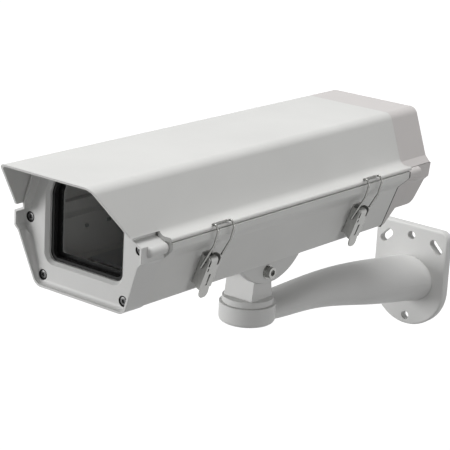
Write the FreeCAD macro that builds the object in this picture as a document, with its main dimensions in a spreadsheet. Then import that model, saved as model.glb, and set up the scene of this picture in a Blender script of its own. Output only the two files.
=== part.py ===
"""Outdoor camera housing with a hinged cover, two draw latches and a cast wall arm.

Millimetres, +Z up, +X towards the latch side, the window looks along -Y.
The origin is on the back of the wall plate, midway between its two round bolt holes.
A station is a distance in front of the wall, so its Y is minus the station.
"""
import FreeCAD, Part
import math
import os
import re

import Sketcher

V = FreeCAD.Vector
doc = FreeCAD.newDocument("camera_housing")
sheet = doc.addObject("Spreadsheet::Sheet", "sizes")

# Driving sizes, all in millimetres unless the name says degrees
DRIVING = {
    # wall plate and arm
    "plate_width": 83.0, "plate_rise": 52.7, "plate_drop": 50.5, "plate_depth": 8.0,
    "plate_corner": 9.0, "plate_round": 2.0, "hole_pitch": 83.5, "bolt_bore": 8.5,
    "slot_reach": 29.0, "slot_level": 35.5, "slot_bore": 8.0, "slot_run": 9.0,
    "wall_reach": 266.5, "arm_wall": 4.0,
    "collar_radius": 25.0, "collar_low": 17.2, "collar_high": 34.7, "collar_round": 4.0,
    # swivel head
    "turn_gap": 0.3, "ring_radius": 22.6, "ring_height": 5.4, "spigot_radius": 17.0,
    "spigot_depth": 7.0, "spigot_fit": 0.1, "floor_depth": 4.0, "pan_bolt_radius": 4.0,
    "pan_head_radius": 6.5, "pan_head_height": 4.2, "pan_washer_radius": 8.2,
    "pan_washer_depth": 1.4, "pan_recess_radius": 9.2, "post_half": 15.4,
    "post_foot": 14.2, "post_boss": 10.5, "tilt_level": 66.6, "edge_round": 0.8,
    # tilt saddle and its bolt
    "saddle_gap": 0.3, "ear_thick": 4.0, "ear_radius": 55.0, "ear_drop": 11.1,
    "ear_shift": 4.5,
    "saddle_plate": 4.0, "tilt_bolt_radius": 3.0, "tilt_fit": 0.05, "tilt_head_radius": 5.0,
    "tilt_head_height": 4.0, "tilt_washer_radius": 6.2, "tilt_washer_depth": 1.0,
    "tilt_nut_depth": 5.0, "hex_key": 2.6,
    "saddle_screw_x": 8.0, "saddle_screw_run": 31.0, "saddle_screw_radius": 2.5,
    # tray section
    "tray_base": 88.0, "tray_half": 48.3, "side_half": 63.3, "side_level": 128.6,
    "side_round": 8.0, "lip_half": 74.8, "lip_low": 139.6, "lip_round": 1.8,
    "lip_bevel_half": 72.8, "lip_bevel_level": 137.2,
    "seam_level": 145.0, "tray_wall": 2.4, "tray_corner": 5.0,
    "port_half": 54.5, "port_low": 135.8, "foot_port_half": 38.5, "foot_port_high": 99.5,
    "groove_half": 66.4, "groove_width": 3.6, "groove_depth": 2.2,
    "rail_half": 27.0, "rail_width": 3.0, "rail_height": 9.0,
    "tray_rear": 139.6, "tray_front": 458.4,
    # bezel
    "bezel_base": 86.0, "bezel_corner": 9.0, "bezel_front": 484.8, "bezel_rake": 4.8,
    "lug_half": 67.2, "lug_low": 132.4, "lug_crest": 148.8, "lug_round": 5.0,
    "bezel_wall": 3.4, "rim": 1.9, "face_station": 476.2, "face_thick": 8.0, "cove": 4.0,
    "bump_half": 67.2, "bump_level": 140.4, "bump_radius": 4.6, "bump_front": 478.5,
    "bump_rear": 114.0, "bump_round": 2.2, "hood_gap": 1.0,
    "window_half": 39.1, "window_low": 108.2, "window_shoulder": 163.0,
    "window_top_half": 32.7, "window_high": 181.6, "window_corner": 7.0,
    "window_bevel": 2.7, "foot_screw_x": 42.8, "foot_screw_z": 95.3,
    "lug_screw_x": 58.0, "lug_screw_z": 139.4, "case_screw_radius": 1.7,
    "case_head_radius": 3.5, "case_head_height": 2.2, "counterbore_radius": 4.4,
    # glazing
    "gasket_fit": 0.1, "gasket_band": 2.6, "gasket_proud": 3.3, "gasket_web": 0.8,
    "glass_lap": 3.0, "glass_thick": 4.0, "clamp_width": 8.0, "clamp_thick": 2.5,
    "clamp_tab_radius": 4.5, "clamp_screw_radius": 1.5,
    # cover section and its hood
    "cover_half": 47.1, "cover_top": 192.7, "cover_wall": 2.2, "cover_corner": 8.0,
    "boss_radius": 4.6, "boss_bite": 0.2, "boss_inset": 8.0, "boss_below": 4.2,
    "seam_gap": 0.3, "flange_half": 74.0, "bead_radius": 1.8, "flange_inner": 60.3,
    "flare_radius": 7.0, "skirt_half": 61.4, "skirt_level": 152.0, "flange_front": 459.0,
    "hood_low_station": 490.0, "hood_top_station": 521.0, "cover_rear": 135.6,
    # end caps
    "end_station": 93.6, "end_lean": 7.0, "cap_wall": 2.6, "end_round": 8.0,
    "cap_round": 2.0, "crease_level": 150.8,
    "step_level": 105.0, "step_station": 127.0, "heel_station": 136.0,
    "cap_gasket": 1.5, "gland_pitch": 24.0, "gland_radius": 8.0, "gland_nut_across": 20.0,
    "gland_station": 116.0,
    # hinges
    "hinge_x": 78.9, "hinge_z": 146.2, "knuckle_radius": 3.4, "hinge_pin_radius": 1.6,
    "hinge_fit": 0.05, "leaf_thick": 1.6, "hinge_length": 42.0, "knuckle_gap": 0.4,
    "hinge_front": 400.0, "hinge_rear": 200.0,
    # latches
    "latch_front": 401.7, "latch_rear": 200.0, "pivot_out": 7.0, "pivot_down": 8.5,
    "latch_pin_radius": 1.1, "latch_fit": 0.05, "base_half": 5.6, "base_length": 29.0,
    "base_plate": 1.2, "lug_thick": 1.1, "lever_half": 7.2, "lever_sheet": 1.0,
    "lever_face": 10.2, "lever_length": 33.6, "lever_top": 4.2, "face_top": 12.2,
    "barrel_half": 4.1, "barrel_radius": 3.2, "tab_length": 9.0, "tab_degrees": 8.0,
    "bail_out": 5.8, "bail_down": 14.8, "wire_radius": 0.9, "wire_bend": 1.5,
    "bail_half": 9.7, "hook_gap": 0.3, "hook_degrees": 75.0, "rivet_radius": 1.6,
    # camera sled
    "sled_half": 36.0, "sled_thick": 2.0, "sled_rear": 180.0, "sled_front": 430.0,
    "sled_lift": 0.3, "stud_radius": 2.5, "thumb_radius": 7.0, "thumb_height": 6.0,
    "sled_slot_run": 44.0, "camera_slot_run": 90.0, "camera_screw_radius": 3.15,
}


class Sizes:
    """Keeps each size as a named cell of the sheet and as a number of the same name."""

    def __init__(self):
        self.count = 0

    def put(self, name, value):
        self.count += 1
        sheet.set(f"A{self.count}", name)
        sheet.set(f"B{self.count}", repr(round(float(value), 6)))
        sheet.setAlias(f"B{self.count}", name)
        setattr(self, name, float(value))


s = Sizes()
for size_name, size_value in DRIVING.items():
    s.put(size_name, size_value)


def side_x(level):
    """Outer half width of the tray's leaning side at a level."""
    share = (level - s.tray_base) / (s.side_level - s.tray_base)
    return s.tray_half + share * (s.side_half - s.tray_half)


def cover_x(level):
    """Outer half width of the cover's leaning side at a level."""
    share = (s.cover_top - level) / (s.cover_top - s.skirt_level)
    return s.cover_half + share * (s.skirt_half - s.cover_half)


# Sizes that follow from the driving ones
lean = math.atan2(s.side_half - s.tray_half, s.side_level - s.tray_base)
cover_lean = math.atan2(s.skirt_half - s.cover_half, s.cover_top - s.skirt_level)
s.put("side_degrees", math.degrees(lean))
s.put("wall_across", s.tray_wall / math.cos(lean))
s.put("floor_level", s.tray_base + s.tray_wall)
s.put("floor_half", side_x(s.floor_level) - s.wall_across)
s.put("foot_port_edge", side_x(s.foot_port_high) - s.wall_across)
s.put("side_inner", s.side_half - s.wall_across)
s.put("rail_top", s.floor_level + s.rail_height)
s.put("ring_low", s.collar_high + s.turn_gap)
s.put("ring_top", s.ring_low + s.ring_height)
s.put("bore_floor", s.collar_high - s.spigot_depth - s.turn_gap)
s.put("recess_top", s.bore_floor - s.floor_depth)
s.put("ear_inner", s.post_half + s.saddle_gap)
s.put("ear_outer", s.ear_inner + s.ear_thick)
s.put("ear_centre", s.tilt_level - s.ear_drop + s.ear_radius)
s.put("saddle_low", s.tray_base - s.saddle_plate)
s.put("cover_across", s.cover_wall / math.cos(cover_lean))
s.put("ceiling_level", s.cover_top - s.cover_wall)
s.put("ceiling_half", cover_x(s.ceiling_level) - s.cover_across)
s.put("flange_low", s.seam_level + s.seam_gap)
s.put("bead_level", s.flange_low + s.bead_radius)
s.put("bead_half", s.flange_half - s.bead_radius)
s.put("flange_high", s.flange_low + 2 * s.bead_radius)
s.put("flare_half", cover_x(s.flange_high))
s.put("throat_half", s.flare_half - s.cover_across)
s.put("brow_half", cover_x(s.skirt_level) - s.cover_across - s.hood_gap)
s.put("brow_level", s.ceiling_level - s.hood_gap)
s.put("brow_top_half", cover_x(s.brow_level) - s.cover_across - s.hood_gap)
s.put("glass_half", s.window_half + s.glass_lap)
s.put("cap_front", s.tray_rear - s.cap_gasket)
s.put("sled_low", s.rail_top + s.sled_lift)
s.put("bezel_half", side_x(s.bezel_base))
s.put("lug_start", s.flange_front + s.seam_gap)
s.put("crease_half", cover_x(s.crease_level))

# Where the tangents of the post's leaning faces meet its round boss
post_drop = s.ring_top - s.tilt_level
post_distance = math.hypot(s.post_foot, post_drop)
touch = math.atan2(post_drop, s.post_foot) + math.acos(s.post_boss / post_distance)
s.put("post_touch_y", s.post_boss * math.cos(touch))
s.put("post_touch_z", s.post_boss * math.sin(touch))


def bind(item, path, text):
    """Bind a property to an expression written with the sheet's own names."""
    named = re.sub(r"[a-z][a-z_]+", lambda word: f"sizes.{word.group()}", text)
    item.setExpression(path, named)


def new_body(label):
    item = doc.addObject("PartDesign::Body", label)
    item.Label = label
    return item


def add_polygon(drawing, corners):
    """Closed outline with each corner held at a pair of expressions."""
    first = drawing.GeometryCount
    count = len(corners)
    ring = [V(90 * math.cos(math.tau * i / count), 90 * math.sin(math.tau * i / count), 0)
            for i in range(count)]
    for i in range(count):
        drawing.addGeometry(Part.LineSegment(ring[i], ring[(i + 1) % count]))
    for i in range(count):
        follower = first + (i + 1) % count
        drawing.addConstraint(Sketcher.Constraint("Coincident", first + i, 2, follower, 1))
    for i, corner in enumerate(corners):
        for kind, text in zip(("DistanceX", "DistanceY"), corner):
            number = drawing.addConstraint(Sketcher.Constraint(kind, -1, 1, first + i, 1, 1.0))
            bind(drawing, f"Constraints[{number}]", text)


def add_circle(drawing, across, along, radius):
    """Circle with its centre and radius held at expressions."""
    item = drawing.addGeometry(Part.Circle(V(1, 1, 0), V(0, 0, 1), 5))
    for kind, text in (("DistanceX", across), ("DistanceY", along)):
        number = drawing.addConstraint(Sketcher.Constraint(kind, -1, 1, item, 3, 1.0))
        bind(drawing, f"Constraints[{number}]", text)
    number = drawing.addConstraint(Sketcher.Constraint("Radius", item, 5.0))
    bind(drawing, f"Constraints[{number}]", radius)


def new_sketch(part, role, offset, polygons=(), circles=()):
    """Sketch on one of the body's own planes, moved along that plane's normal."""
    drawing = part.newObject("Sketcher::SketchObject", f"{part.Label}_sketch")
    planes = [item for item in part.Origin.OriginFeatures if item.Role == role]
    drawing.AttachmentSupport = [(planes[0], "")]
    drawing.MapMode = "FlatFace"
    bind(drawing, "AttachmentOffset.Base.z", offset)
    for corners in polygons:
        add_polygon(drawing, corners)
    for circle in circles:
        add_circle(drawing, *circle)
    doc.recompute()
    return drawing


def extrude(part, kind, drawing, length, flipped=False, both=False):
    """Pad or pocket of a sketch; a pocket that cuts nothing is an error."""
    before = part.Shape.Volume if kind == "Pocket" else 0
    feature = part.newObject(f"PartDesign::{kind}", f"{part.Label}_{kind.lower()}")
    feature.Profile = drawing
    bind(feature, "Length", length)
    feature.Reversed = flipped
    if both:
        feature.SideType = "Symmetric"
    doc.recompute()
    if kind == "Pocket" and part.Shape.Volume > before - 0.1:
        raise RuntimeError(f"{feature.Label} cuts nothing")
    return feature


def pad(part, role, offset, length, polygons=(), circles=(), **options):
    return extrude(part, "Pad", new_sketch(part, role, offset, polygons, circles),
                   length, **options)


def pocket(part, role, offset, length, polygons=(), circles=(), **options):
    return extrude(part, "Pocket", new_sketch(part, role, offset, polygons, circles),
                   length, **options)


def middle(edge):
    return edge.valueAt((edge.FirstParameter + edge.LastParameter) / 2)


def runs_along(edge, axis):
    """Straight edge parallel to one of the axes."""
    if edge.Curve.TypeId != "Part::GeomLine":
        return False
    return abs(edge.tangentAt(edge.FirstParameter).dot(axis)) > 0.999


def dress(part, kind, size, chosen):
    """Fillet or chamfer on the edges of the body's tip that the test picks."""
    tip = part.Tip
    names = [f"Edge{i + 1}" for i, edge in enumerate(part.Shape.Edges)
             if chosen(edge, middle(edge))]
    if not names:
        raise RuntimeError(f"{part.Label} has no edge to dress")
    feature = part.newObject(f"PartDesign::{kind}", f"{part.Label}_{kind.lower()}")
    feature.Base = (tip, names)
    bind(feature, "Radius" if kind == "Fillet" else "Size", size)
    doc.recompute()
    return feature


def mirrored(corners):
    """Corners on the +X side followed by their mirror images, as one closed outline."""
    return corners + [(f"0 - ({across})", along) for across, along in reversed(corners)]


def near(value, goal, slack=0.05):
    return abs(value - goal) < slack


def add_feature(label, shape, placement=None):
    """Sub-part whose shape is worked out here from the sheet's sizes."""
    item = doc.addObject("Part::Feature", label)
    item.Label = label
    item.Shape = shape
    if placement:
        item.Placement = placement
    return item


def rod(radius, start, end):
    """Solid cylinder between two points."""
    run = end.sub(start)
    return Part.makeCylinder(radius, run.Length, start, run)


def hex_bar(across, start, end):
    """Hexagonal bar between two points, across its flats."""
    run = end.sub(start)
    side = V(0, 0, 1) if abs(run.z) < 0.5 * run.Length else V(1, 0, 0)
    side = side.sub(run * (side.dot(run) / run.dot(run))).normalize()
    other = run.cross(side).normalize()
    reach = across / math.sqrt(3)
    corners = [start + side * (reach * math.cos(i * math.pi / 3))
               + other * (reach * math.sin(i * math.pi / 3)) for i in range(7)]
    return Part.Face(Part.makePolygon(corners)).extrude(run)


def plate_from(points, thick, direction):
    """Flat plate from its outline, extruded along a direction."""
    face = Part.Face(Part.makePolygon(points + points[:1]))
    return face.extrude(direction * thick)


def join(shapes):
    return shapes[0].fuse(shapes[1:]).removeSplitter()


def station_point(across, station, level):
    return V(across, -station, level)


# Wall plate, arm and collar, one casting
def build_plate():
    part = new_body("arm_plate")
    pad(part, "XZ_Plane", "0", "plate_depth",
        [[("plate_width / 2", "plate_width / 2 - plate_drop"),
          ("plate_width / 2", "plate_rise"),
          ("0 - plate_width / 2", "plate_rise"),
          ("0 - plate_width / 2", "plate_width / 2 - plate_drop")]])
    pad(part, "XZ_Plane", "0", "plate_depth",
        circles=[("0", "plate_width / 2 - plate_drop", "plate_width / 2")])
    dress(part, "Fillet", "plate_corner",
          lambda edge, mid: runs_along(edge, V(0, 1, 0)) and near(mid.z, s.plate_rise))
    dress(part, "Fillet", "plate_round",
          lambda edge, mid: near(mid.y, -s.plate_depth) and not runs_along(edge, V(0, 1, 0)))
    pocket(part, "XZ_Plane", "plate_depth", "plate_depth",
           circles=[("0", "hole_pitch / 2", "bolt_bore / 2"),
                    ("0", "0 - hole_pitch / 2", "bolt_bore / 2")])
    return part


def slanted_slot(hand):
    """Tool for one slanted slot; the two slots lean towards each other at the top."""
    half = s.slot_run / 2 * math.sqrt(0.5)
    ends = [V(hand * (s.slot_reach + way * half), 1, s.slot_level - way * half)
            for way in (-1, 1)]
    through = V(0, -s.plate_depth - 2, 0)
    radius = s.slot_bore / 2
    across = V(hand, 0, 1).normalize() * radius
    web = plate_from([ends[0] + across, ends[1] + across, ends[1] - across, ends[0] - across],
                     s.plate_depth + 2, V(0, -1, 0))
    return join([rod(radius, end, end + through) for end in ends] + [web])


def oval(label, across, upright, station, level):
    """Upright oval section of the arm at a station."""
    item = doc.addObject("Part::Ellipse", label)
    item.MajorRadius = max(across, upright)
    item.MinorRadius = min(across, upright)
    item.Placement = FreeCAD.Placement(station_point(0, station, level),
                                       FreeCAD.Rotation(V(1, 0, 0), 90))
    return item


def facetted(label, across, upright, station, level):
    """Twelve-sided section inside the oval, for the arm's unseen hollow."""
    turns = [math.tau * (step + 0.5) / 12 for step in range(12)]
    points = [station_point(across * math.cos(turn), station, level + upright * math.sin(turn))
              for turn in turns]
    item = doc.addObject("Part::Feature", label)
    item.Shape = Part.makePolygon(points + points[:1])
    return item


def loft(label, sections, section_shape, ruled=False):
    item = doc.addObject("Part::Loft", label)
    item.Sections = [section_shape(f"{label}_section", *section) for section in sections]
    item.Solid = True
    item.Ruled = ruled
    return item


def build_wall_arm():
    # half width, half height, station and level of each section, from the collar to the wall
    sections = [(19.5, 7.6, s.wall_reach, 26.0), (21.4, 10.4, s.wall_reach * 0.87, 22.9),
                (20.6, 13.6, s.wall_reach * 0.71, 22.1), (23.6, 18.1, s.wall_reach * 0.5, 17.4),
                (26.4, 21.9, s.wall_reach * 0.25, 7.2), (28.6, 23.3, s.plate_depth * 0.5, -2.8)]
    inner = [(across - s.arm_wall, upright - s.arm_wall, station, level)
             for across, upright, station, level in sections[2:]]
    mouth = (inner[-1][0], inner[-1][1], -2.0, inner[-1][3])
    collar = doc.addObject("Part::Cylinder", "collar")
    bind(collar, "Radius", "collar_radius")
    bind(collar, "Height", "collar_high - collar_low")
    bind(collar, "Placement.Base.y", "0 - wall_reach")
    bind(collar, "Placement.Base.z", "collar_low")
    solid = doc.addObject("Part::MultiFuse", "arm_solid")
    solid.Shapes = [build_plate(), loft("arm_outer", sections, oval), collar]
    doc.recompute()
    centre = station_point(0, s.wall_reach, 0)
    up = V(0, 0, 1)
    tools = [rod(s.spigot_radius + s.spigot_fit, centre + up * s.bore_floor,
                 centre + up * (s.collar_high + 1)),
             rod(s.pan_bolt_radius + s.turn_gap, centre, centre + up * s.collar_high),
             rod(s.pan_recess_radius, centre, centre + up * s.recess_top),
             rod(s.ring_radius + 0.8, centre + up * s.collar_high,
                 centre + up * (s.collar_high + 30)),
             slanted_slot(1), slanted_slot(-1)]
    drills = doc.addObject("Part::Feature", "arm_drills")
    drills.Shape = Part.makeCompound(tools)
    hollow = loft("arm_inner", inner + [mouth], facetted, ruled=True)
    bored = doc.addObject("Part::Cut", "arm_bored")
    bored.Base = solid
    bored.Tool = drills
    item = doc.addObject("Part::Cut", "arm_hollow")
    item.Base = bored
    item.Tool = hollow
    doc.recompute()
    rounded = doc.addObject("Part::Fillet", "wall_arm")
    rounded.Base = item
    low_rim = [i + 1 for i, edge in enumerate(item.Shape.Edges)
               if edge.Curve.TypeId == "Part::GeomCircle" and near(middle(edge).z, s.collar_low)
               and near(edge.Curve.Radius, s.collar_radius)]
    rounded.Edges = [(number, s.collar_round, s.collar_round) for number in low_rim]
    rounded.Label = "wall_arm"
    doc.recompute()
    return rounded


def build_swivel_head():
    part = new_body("swivel_head")
    reach = "0 - wall_reach"
    pad(part, "XY_Plane", "ring_low", "ring_height", circles=[("0", reach, "ring_radius")])
    pad(part, "XY_Plane", "ring_low", "spigot_depth", circles=[("0", reach, "spigot_radius")],
        flipped=True)
    pad(part, "YZ_Plane", "0", "2 * post_half",
        [[("0 - wall_reach + post_foot", "ring_top - 0.5"),
          ("0 - wall_reach + post_foot", "ring_top"),
          ("0 - wall_reach + post_touch_y", "tilt_level + post_touch_z"),
          ("0 - wall_reach - post_touch_y", "tilt_level + post_touch_z"),
          ("0 - wall_reach - post_foot", "ring_top"),
          ("0 - wall_reach - post_foot", "ring_top - 0.5")]], both=True)
    pad(part, "YZ_Plane", "0", "2 * post_half", circles=[(reach, "tilt_level", "post_boss")],
        both=True)
    pocket(part, "YZ_Plane", "0", "2 * post_half + 2",
           circles=[(reach, "tilt_level", "tilt_bolt_radius + tilt_fit")], both=True)
    pocket(part, "XY_Plane", "ring_low - spigot_depth", "spigot_depth + 6",
           circles=[("0", reach, "pan_bolt_radius")], flipped=True)
    return part


def build_pan_bolt():
    centre = station_point(0, s.wall_reach, 0)
    up = V(0, 0, 1)
    head_top = s.recess_top - s.turn_gap - s.pan_washer_depth
    head = rod(s.pan_head_radius, centre + up * (head_top - s.pan_head_height),
               centre + up * head_top)
    shank = rod(s.pan_bolt_radius, centre + up * head_top, centre + up * (s.ring_low + 5.5))
    key = hex_bar(2 * s.hex_key, centre + up * (head_top - s.pan_head_height),
                  centre + up * (head_top - 1.2))
    add_feature("pan_bolt", join([head, shank]).cut(key))
    washer = rod(s.pan_washer_radius, centre + up * head_top,
                 centre + up * (head_top + s.pan_washer_depth))
    add_feature("pan_washer", washer.cut(rod(s.pan_bolt_radius, centre, centre + up * 60)))


# Saddle under the tray and the bolt that it tilts on
def build_saddle():
    part = new_body("tilt_saddle")
    reach = "0 - wall_reach"
    pad(part, "YZ_Plane", "0", "2 * ear_outer", circles=[("ear_shift - wall_reach", "ear_centre", "ear_radius")],
        both=True)
    pocket(part, "YZ_Plane", "0", "3 * ear_outer",
           [[("0 - wall_reach - 2 * ear_radius", "tray_base"),
             ("0 - wall_reach + 2 * ear_radius", "tray_base"),
             ("0 - wall_reach + 2 * ear_radius", "tray_base + 3 * ear_radius"),
             ("0 - wall_reach - 2 * ear_radius", "tray_base + 3 * ear_radius")]], both=True)
    dress(part, "Chamfer", "edge_round",
          lambda edge, mid: near(abs(mid.x), s.ear_outer) and mid.z < s.tray_base - 1)
    pocket(part, "XZ_Plane", "wall_reach + 2 * ear_radius", "4 * ear_radius",
           [[("ear_inner", "tilt_level - 2 * ear_drop"), ("ear_inner", "saddle_low"),
             ("0 - ear_inner", "saddle_low"), ("0 - ear_inner", "tilt_level - 2 * ear_drop")]])
    pocket(part, "YZ_Plane", "0", "3 * ear_outer",
           circles=[(reach, "tilt_level", "tilt_bolt_radius")], both=True)
    pocket(part, "XY_Plane", "tray_base", "saddle_plate + 1",
           circles=[(across, f"0 - wall_reach {way} saddle_screw_run", "saddle_screw_radius")
                    for across in ("saddle_screw_x", "0 - saddle_screw_x") for way in "+-"])
    return part


def build_tilt_bolt():
    out = V(1, 0, 0)
    axis = station_point(0, s.wall_reach, s.tilt_level)
    seat = s.ear_outer + 2 * s.tilt_washer_depth
    nut = s.ear_outer + s.tilt_washer_depth
    head = rod(s.tilt_head_radius, axis + out * seat, axis + out * (seat + s.tilt_head_height))
    key = hex_bar(2 * s.hex_key, axis + out * (seat + 1.4), axis + out * (seat + 9))
    shank = rod(s.tilt_bolt_radius, axis - out * (nut + s.tilt_nut_depth + 2), axis + out * seat)
    add_feature("tilt_bolt", join([head, shank]).cut(key))
    hole = rod(s.tilt_bolt_radius, axis - out * 60, axis + out * 60)
    flats = [rod(s.tilt_washer_radius, axis + out * start,
                 axis + out * (start + s.tilt_washer_depth)).cut(hole)
             for start in (s.ear_outer, -nut)]
    add_feature("tilt_washers", Part.makeCompound(flats))
    spring_start = s.ear_outer + s.tilt_washer_depth
    spring = rod(s.tilt_head_radius + 0.4, axis + out * spring_start, axis + out * seat)
    split = Part.makeBox(s.tilt_washer_depth, 1.2, 8, axis + V(spring_start, -0.6, 0))
    add_feature("spring_washer", spring.cut([hole, split]))
    add_feature("tilt_nut", hex_bar(10, axis - out * (nut + s.tilt_nut_depth),
                                    axis - out * nut).cut(hole))


def build_saddle_screws():
    screws = []
    for hand in (1, -1):
        for way in (1, -1):
            foot = station_point(hand * s.saddle_screw_x, s.wall_reach + way * s.saddle_screw_run,
                                 s.saddle_low)
            top = V(foot.x, foot.y, s.floor_level)
            head = rod(4.3, top, top + V(0, 0, 2.8))
            key = hex_bar(3.2, top + V(0, 0, 1.2), top + V(0, 0, 4))
            screws.append(join([rod(s.saddle_screw_radius, foot, top), head]).cut(key))
    add_feature("saddle_screws", Part.makeCompound(screws))


# Tray: one long extrusion with screw ports, rails and beaded lips
def tray_half_section():
    """Corners of the +X half, from the middle of the outside round to the middle inside."""
    inner_groove = "groove_half - groove_width / 2"
    outer_groove = "groove_half + groove_width / 2"
    return [("tray_half", "tray_base"), ("side_half", "side_level"),
            ("lip_bevel_half", "lip_bevel_level"), ("lip_half", "lip_low"),
            ("lip_half", "seam_level"), (outer_groove, "seam_level"),
            (outer_groove, "seam_level - groove_depth"),
            (inner_groove, "seam_level - groove_depth"), (inner_groove, "seam_level"),
            ("port_half", "seam_level"), ("port_half", "port_low"),
            ("side_inner", "side_level"), ("foot_port_edge", "foot_port_high"),
            ("foot_port_half", "foot_port_high"), ("foot_port_half", "floor_level"),
            ("rail_half + rail_width", "floor_level"), ("rail_half + rail_width", "rail_top"),
            ("rail_half", "rail_top"), ("rail_half", "floor_level")]


def case_screw_places():
    return [(hand * s.foot_screw_x, s.foot_screw_z) for hand in (1, -1)] + \
           [(hand * s.lug_screw_x, s.lug_screw_z) for hand in (1, -1)]


CASE_SCREW_CELLS = [(f"{sign}{across}", along, "case_screw_radius")
                    for across, along in (("foot_screw_x", "foot_screw_z"),
                                          ("lug_screw_x", "lug_screw_z"))
                    for sign in ("", "0 - ")]


def build_tray():
    part = new_body("tray_extrusion")
    pad(part, "XZ_Plane", "tray_rear", "tray_front - tray_rear",
        [mirrored(tray_half_section())])
    dress(part, "Fillet", "tray_corner",
          lambda edge, mid: runs_along(edge, V(0, 1, 0)) and near(mid.z, s.tray_base))
    dress(part, "Fillet", "lip_round",
          lambda edge, mid: runs_along(edge, V(0, 1, 0)) and near(abs(mid.x), s.lip_half)
          and near(mid.z, s.lip_low))
    dress(part, "Fillet", "side_round",
          lambda edge, mid: runs_along(edge, V(0, 1, 0)) and near(abs(mid.x), s.side_half)
          and near(mid.z, s.side_level))
    pocket(part, "XZ_Plane", "tray_front", "22", circles=CASE_SCREW_CELLS)
    pocket(part, "XZ_Plane", "tray_rear", "22", circles=CASE_SCREW_CELLS, flipped=True)
    pocket(part, "XY_Plane", "floor_level", "tray_wall + 1",
           circles=[(across, f"0 - wall_reach {way} saddle_screw_run", "saddle_screw_radius")
                    for across in ("saddle_screw_x", "0 - saddle_screw_x") for way in "+-"])
    return part


# Front bezel: a dished casting with the window, two lugs and the ends of the beads
BEZEL_CORNERS = (
    ("foot", "bezel_half", "bezel_base"), ("side", "side_half", "side_level"),
    ("lug", "lug_half", "lug_low"), ("seam", "lug_half", "seam_level"),
    ("crest", "brow_half", "lug_crest"), ("skirt", "brow_half", "skirt_level"),
    ("brow", "brow_top_half", "brow_level"))


def inset_corner(before, corner, after, depth):
    """Corner of an outline once both of its edges have moved inward by a depth."""
    come = (corner - before).normalize()
    go = (after - corner).normalize()
    inward = V(-come.y, come.x, 0) + V(-go.y, go.x, 0)
    return corner + inward * (depth / (1 + come.dot(go)))


bezel_points = [V(getattr(s, across), getattr(s, along), 0)
                for _, across, along in BEZEL_CORNERS]
bezel_chain = [V(0, s.bezel_base, 0)] + bezel_points + [V(0, s.brow_level, 0)]
for (corner_name, _, _), before, corner, after in zip(BEZEL_CORNERS, bezel_chain,
                                                      bezel_chain[1:], bezel_chain[2:]):
    inner_corner = inset_corner(before, corner, after, s.rim)
    s.put(f"dish_{corner_name}_half", inner_corner.x)
    s.put(f"dish_{corner_name}_level", inner_corner.y)


def bezel_outline():
    """Corners of the bezel behind the cover's front, where its lugs stop at the seam."""
    corners = [(across, along) for _, across, along in BEZEL_CORNERS]
    corners[4] = ("brow_half", "seam_level")
    return mirrored(corners)


def lug_slope_corners(hand):
    """Outline of the slope that carries the cover's flare on over the lug."""
    corners = [("lug_half", "seam_level"), ("brow_half", "lug_crest"),
               ("brow_half - 1", "lug_crest"), ("brow_half - 1", "seam_level - 1"),
               ("lug_half", "seam_level - 1")]
    return [(f"{hand} * ({across})", along) for across, along in corners]


def foot_block_corners(hand):
    corners = [("foot_port_half", "bezel_base + 1"), ("bezel_half - 2", "bezel_base + 1"),
               ("foot_port_edge + 1", "foot_port_high"), ("foot_port_half", "foot_port_high")]
    return [(f"{hand} * ({across})", along) for across, along in corners]


WINDOW_CORNERS = [("window_half", "window_low"), ("window_half", "window_shoulder"),
                  ("window_top_half", "window_high")]


def at_window(mid):
    """Whether a point lies on the window's edge rather than on the bezel's outside."""
    return abs(mid.x) < s.window_half + 0.1 and s.window_low - 0.1 < mid.z < s.window_high + 0.1


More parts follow.
